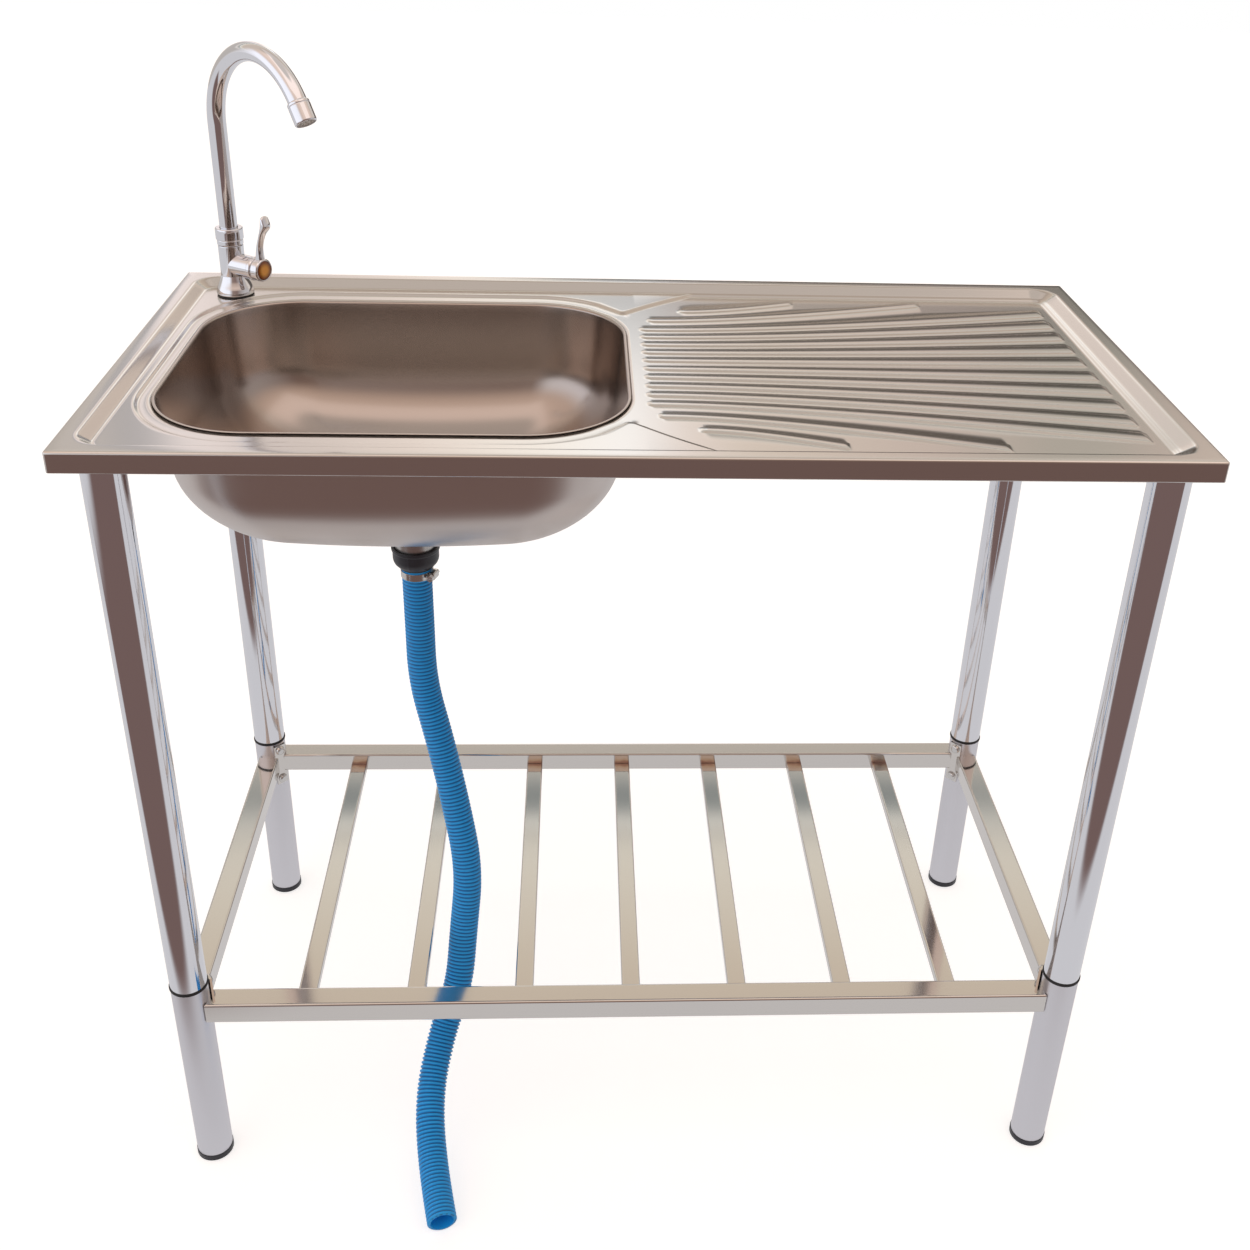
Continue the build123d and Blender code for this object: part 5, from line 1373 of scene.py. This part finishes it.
class SINK_OT_valve(bpy.types.Operator):
    """Side valve: bonnet, lever with its upright arm, and the orange index disc"""

    bl_idname = "sink_unit.valve"
    bl_label = "Valve and lever"

    def execute(self, context):
        origin = (TAP_X, TAP_Y, VALVE_Z)
        along = heading(VALVE_HEADING)
        face = BOSS_REACH + BONNET_LENGTH
        bonnet = soften([(SPINDLE_HOLE, BOSS_REACH), (BONNET_RADIUS, BOSS_REACH), (BONNET_RADIUS, face - 1.4),
                         (BONNET_RADIUS - 1.2, face), (SPINDLE_HOLE, face)], 0.8, 4)
        add_piece("valve_bonnet_turned", [turned(bonnet, origin, along, loop=True)], finish("tap"), "frame",
                  ["valve_bonnet"])
        end = HUB_START + HUB_LENGTH
        hub = soften([(0, HUB_START), (HUB_RADIUS - 0.9, HUB_START), (HUB_RADIUS, HUB_START + 1.0),
                      (HUB_RADIUS, end - 1.4), (HUB_RADIUS - 1.1, end), (DISC_RADIUS + 0.3, end),
                      (DISC_RADIUS + 0.2, end - 1.6), (0, end - 1.6)], 0.8, 4)
        add_piece("tap_lever_cast", [turned(hub, origin, along), self.arm()], finish("tap"), "lever",
                  ["tap_lever"])
        disc = soften([(0, end - 1.5), (DISC_RADIUS, end - 1.5), (DISC_RADIUS, end - 0.2), (8.6, end),
                       (6.0, end + 0.28), (3.0, end + 0.37), (0, end + 0.4)], 0.8, 4)
        dome = turned(disc, origin, along)
        # painted light in the disc's middle, painted shade towards its rim
        shade = np.repeat(fade((disc[:, 0] - 3.0) / 6.5), len(dome[0]) // len(disc))
        add_piece("index_disc_domed", [dome], finish("index"), "lever", ["index_disc"],
                  shade=shade)
        return {"FINISHED"}

    def arm(self):
        """Lever arm: at each height a superellipse section, its thickness between two cubic faces and its
        half width a cubic too, closed to a point over the tip."""
        along = heading(VALVE_HEADING)
        across = np.cross((0, 0, 1.0), along)
        closed = 1 - ARM_CLOSING
        rest = np.linspace(0, 1, 9)[1:]
        share = np.concatenate([np.linspace(0, ARM_CLOSING, 34), 1 - closed * (1 - rest) ** 2])
        near, far, wide = (smooth_through(LEVER_SHARES, values, share)
                           for values in (LEVER_NEAR, LEVER_FAR, LEVER_HALF_WIDTH))
        closing = np.sqrt(np.clip(1 - (np.clip(share - ARM_CLOSING, 0, None) / closed) ** 2, 0, 1))
        middle, half = (near + far) / 2, np.maximum((far - near) / 2, ARM_LEAST_HALF) * closing
        angle = np.linspace(0, 2 * np.pi, 36, endpoint=False)
        round_x, round_y = (np.sign(wave) * np.abs(wave) ** ARM_POWER
                            for wave in (np.cos(angle), np.sin(angle)))
        width = wide * closing
        height = VALVE_Z + ARM_FOOT + (LEVER_HEIGHT - ARM_FOOT) * share
        base = np.array([TAP_X, TAP_Y, 0]) + along * (HUB_START + HUB_LENGTH / 2)
        points = (base + height[:, None, None] * np.array([0, 0, 1.0])
                  + (middle[:, None] + half[:, None] * round_x)[..., None] * along
                  + (width[:, None] * round_y)[..., None] * across)
        foot = np.broadcast_to(points[0].mean(axis=0), points[:1].shape)
        return surface(np.concatenate([foot, points]), wrap_columns=True)


# ------------------------------------------------------------------ waste
CUP_RADIUS = 25.5
CUP_WAIST_RADIUS = 24.4
CUP_BORE = 22.15
CUP_FLOOR_Z = 637.0
COUPLING_NECK = 17.5
SPIGOT_RADIUS = 12.2
SPIGOT_BORE = 9.5
# the two mould lines: degrees from the section's start, half width in radians and height
MOULD_LINE_TURN = 78.0
MOULD_LINE_WIDTH = 0.035
MOULD_LINE_RISE = 0.3


class SINK_OT_waste(bpy.types.Operator):
    """Waste: flange, basket, seal and back nut, with the black coupling that holds the hose"""

    bl_idname = "sink_unit.waste"
    bl_label = "Waste and coupling"

    def execute(self, context):
        dress(["waste_body", "basket_strainer"], finish("plain"))
        dress(["waste_seal"], finish("rubber"))
        dress(["waste_back_nut"], finish("plastic"))
        low, high = node_box("hose_coupling")
        top, shoulder = high[2], HOSE_TOP
        outline = soften([(CUP_RADIUS, top), (CUP_RADIUS, top - 3.2), (CUP_WAIST_RADIUS, top - 4.2),
                          (CUP_WAIST_RADIUS, top - 14.0), (23.2, top - 18.0), (19.4, top - 22.4),
                          (COUPLING_NECK, shoulder + 1.6), (COUPLING_NECK, shoulder),
                          (SPIGOT_RADIUS, shoulder)], 1.6)
        inside = [(SPIGOT_RADIUS, low[2] + 2), (SPIGOT_RADIUS - 0.8, low[2]), (SPIGOT_BORE, low[2]),
                  (SPIGOT_BORE, CUP_FLOOR_Z - 2.0), (CUP_BORE, CUP_FLOOR_Z), (CUP_BORE, top - 1.0),
                  (CUP_BORE + 0.85, top)]
        profile = np.concatenate([outline, inside])
        seam = math.radians(MOULD_LINE_TURN)

        def mould_lines(angle, height):
            """Two raised bell-shaped lines, opposite each other, on the outside of the cup only."""
            near = np.exp(-(np.sin(angle - seam) / MOULD_LINE_WIDTH) ** 2)
            on_cup = (height > shoulder + 0.5) * (height < top + 0.1) * (profile[:, :1] > COUPLING_NECK - 0.1)
            return MOULD_LINE_RISE * near * on_cup

        cup = turned(profile, (BOWL_X, 0, 0), segments=180, loop=True, wave=mould_lines)
        add_piece("hose_coupling_moulded", [cup], finish("plastic"), "frame",
                  ["hose_coupling"])
        return {"FINISHED"}


# ------------------------------------------------------------------ panel and registration
class SINK_PT_panel(bpy.types.Panel):
    """Sizes, colours and pieces of the sink unit"""

    bl_idname = "SINK_PT_panel"
    bl_label = "Sink Unit"
    bl_space_type = "VIEW_3D"
    bl_region_type = "UI"
    bl_category = "Sink Unit"

    def draw(self, context):
        scene = context.scene
        for group in (scene.sink_sizes, scene.sink_colours):
            box = self.layout.box()
            for name in group.bl_rna.properties.keys():
                if name not in ("rna_type", "name"):
                    box.prop(group, name)
        for operator in OPERATORS:
            self.layout.operator(operator.bl_idname)


OPERATORS = (SINK_OT_stage, SINK_OT_hose, SINK_OT_worktop, SINK_OT_bowl, SINK_OT_legs, SINK_OT_shelf,
             SINK_OT_tap, SINK_OT_valve, SINK_OT_waste)
CLASSES = (SinkSizes, SinkColours, *OPERATORS, SINK_PT_panel)


def register():
    """Adds the classes and the scene's two property groups."""
    for item in CLASSES:
        bpy.utils.register_class(item)
    bpy.types.Scene.sink_sizes = bpy.props.PointerProperty(type=SinkSizes)
    bpy.types.Scene.sink_colours = bpy.props.PointerProperty(type=SinkColours)


def unregister():
    """Removes what register added."""
    del bpy.types.Scene.sink_colours
    del bpy.types.Scene.sink_sizes
    for item in reversed(CLASSES):
        bpy.utils.unregister_class(item)


def main():
    """Builds the stage and every piece."""
    register()
    for item in OPERATORS:
        group, action = item.bl_idname.split(".")
        getattr(getattr(bpy.ops, group), action)()


if __name__ == "__main__":
    main()
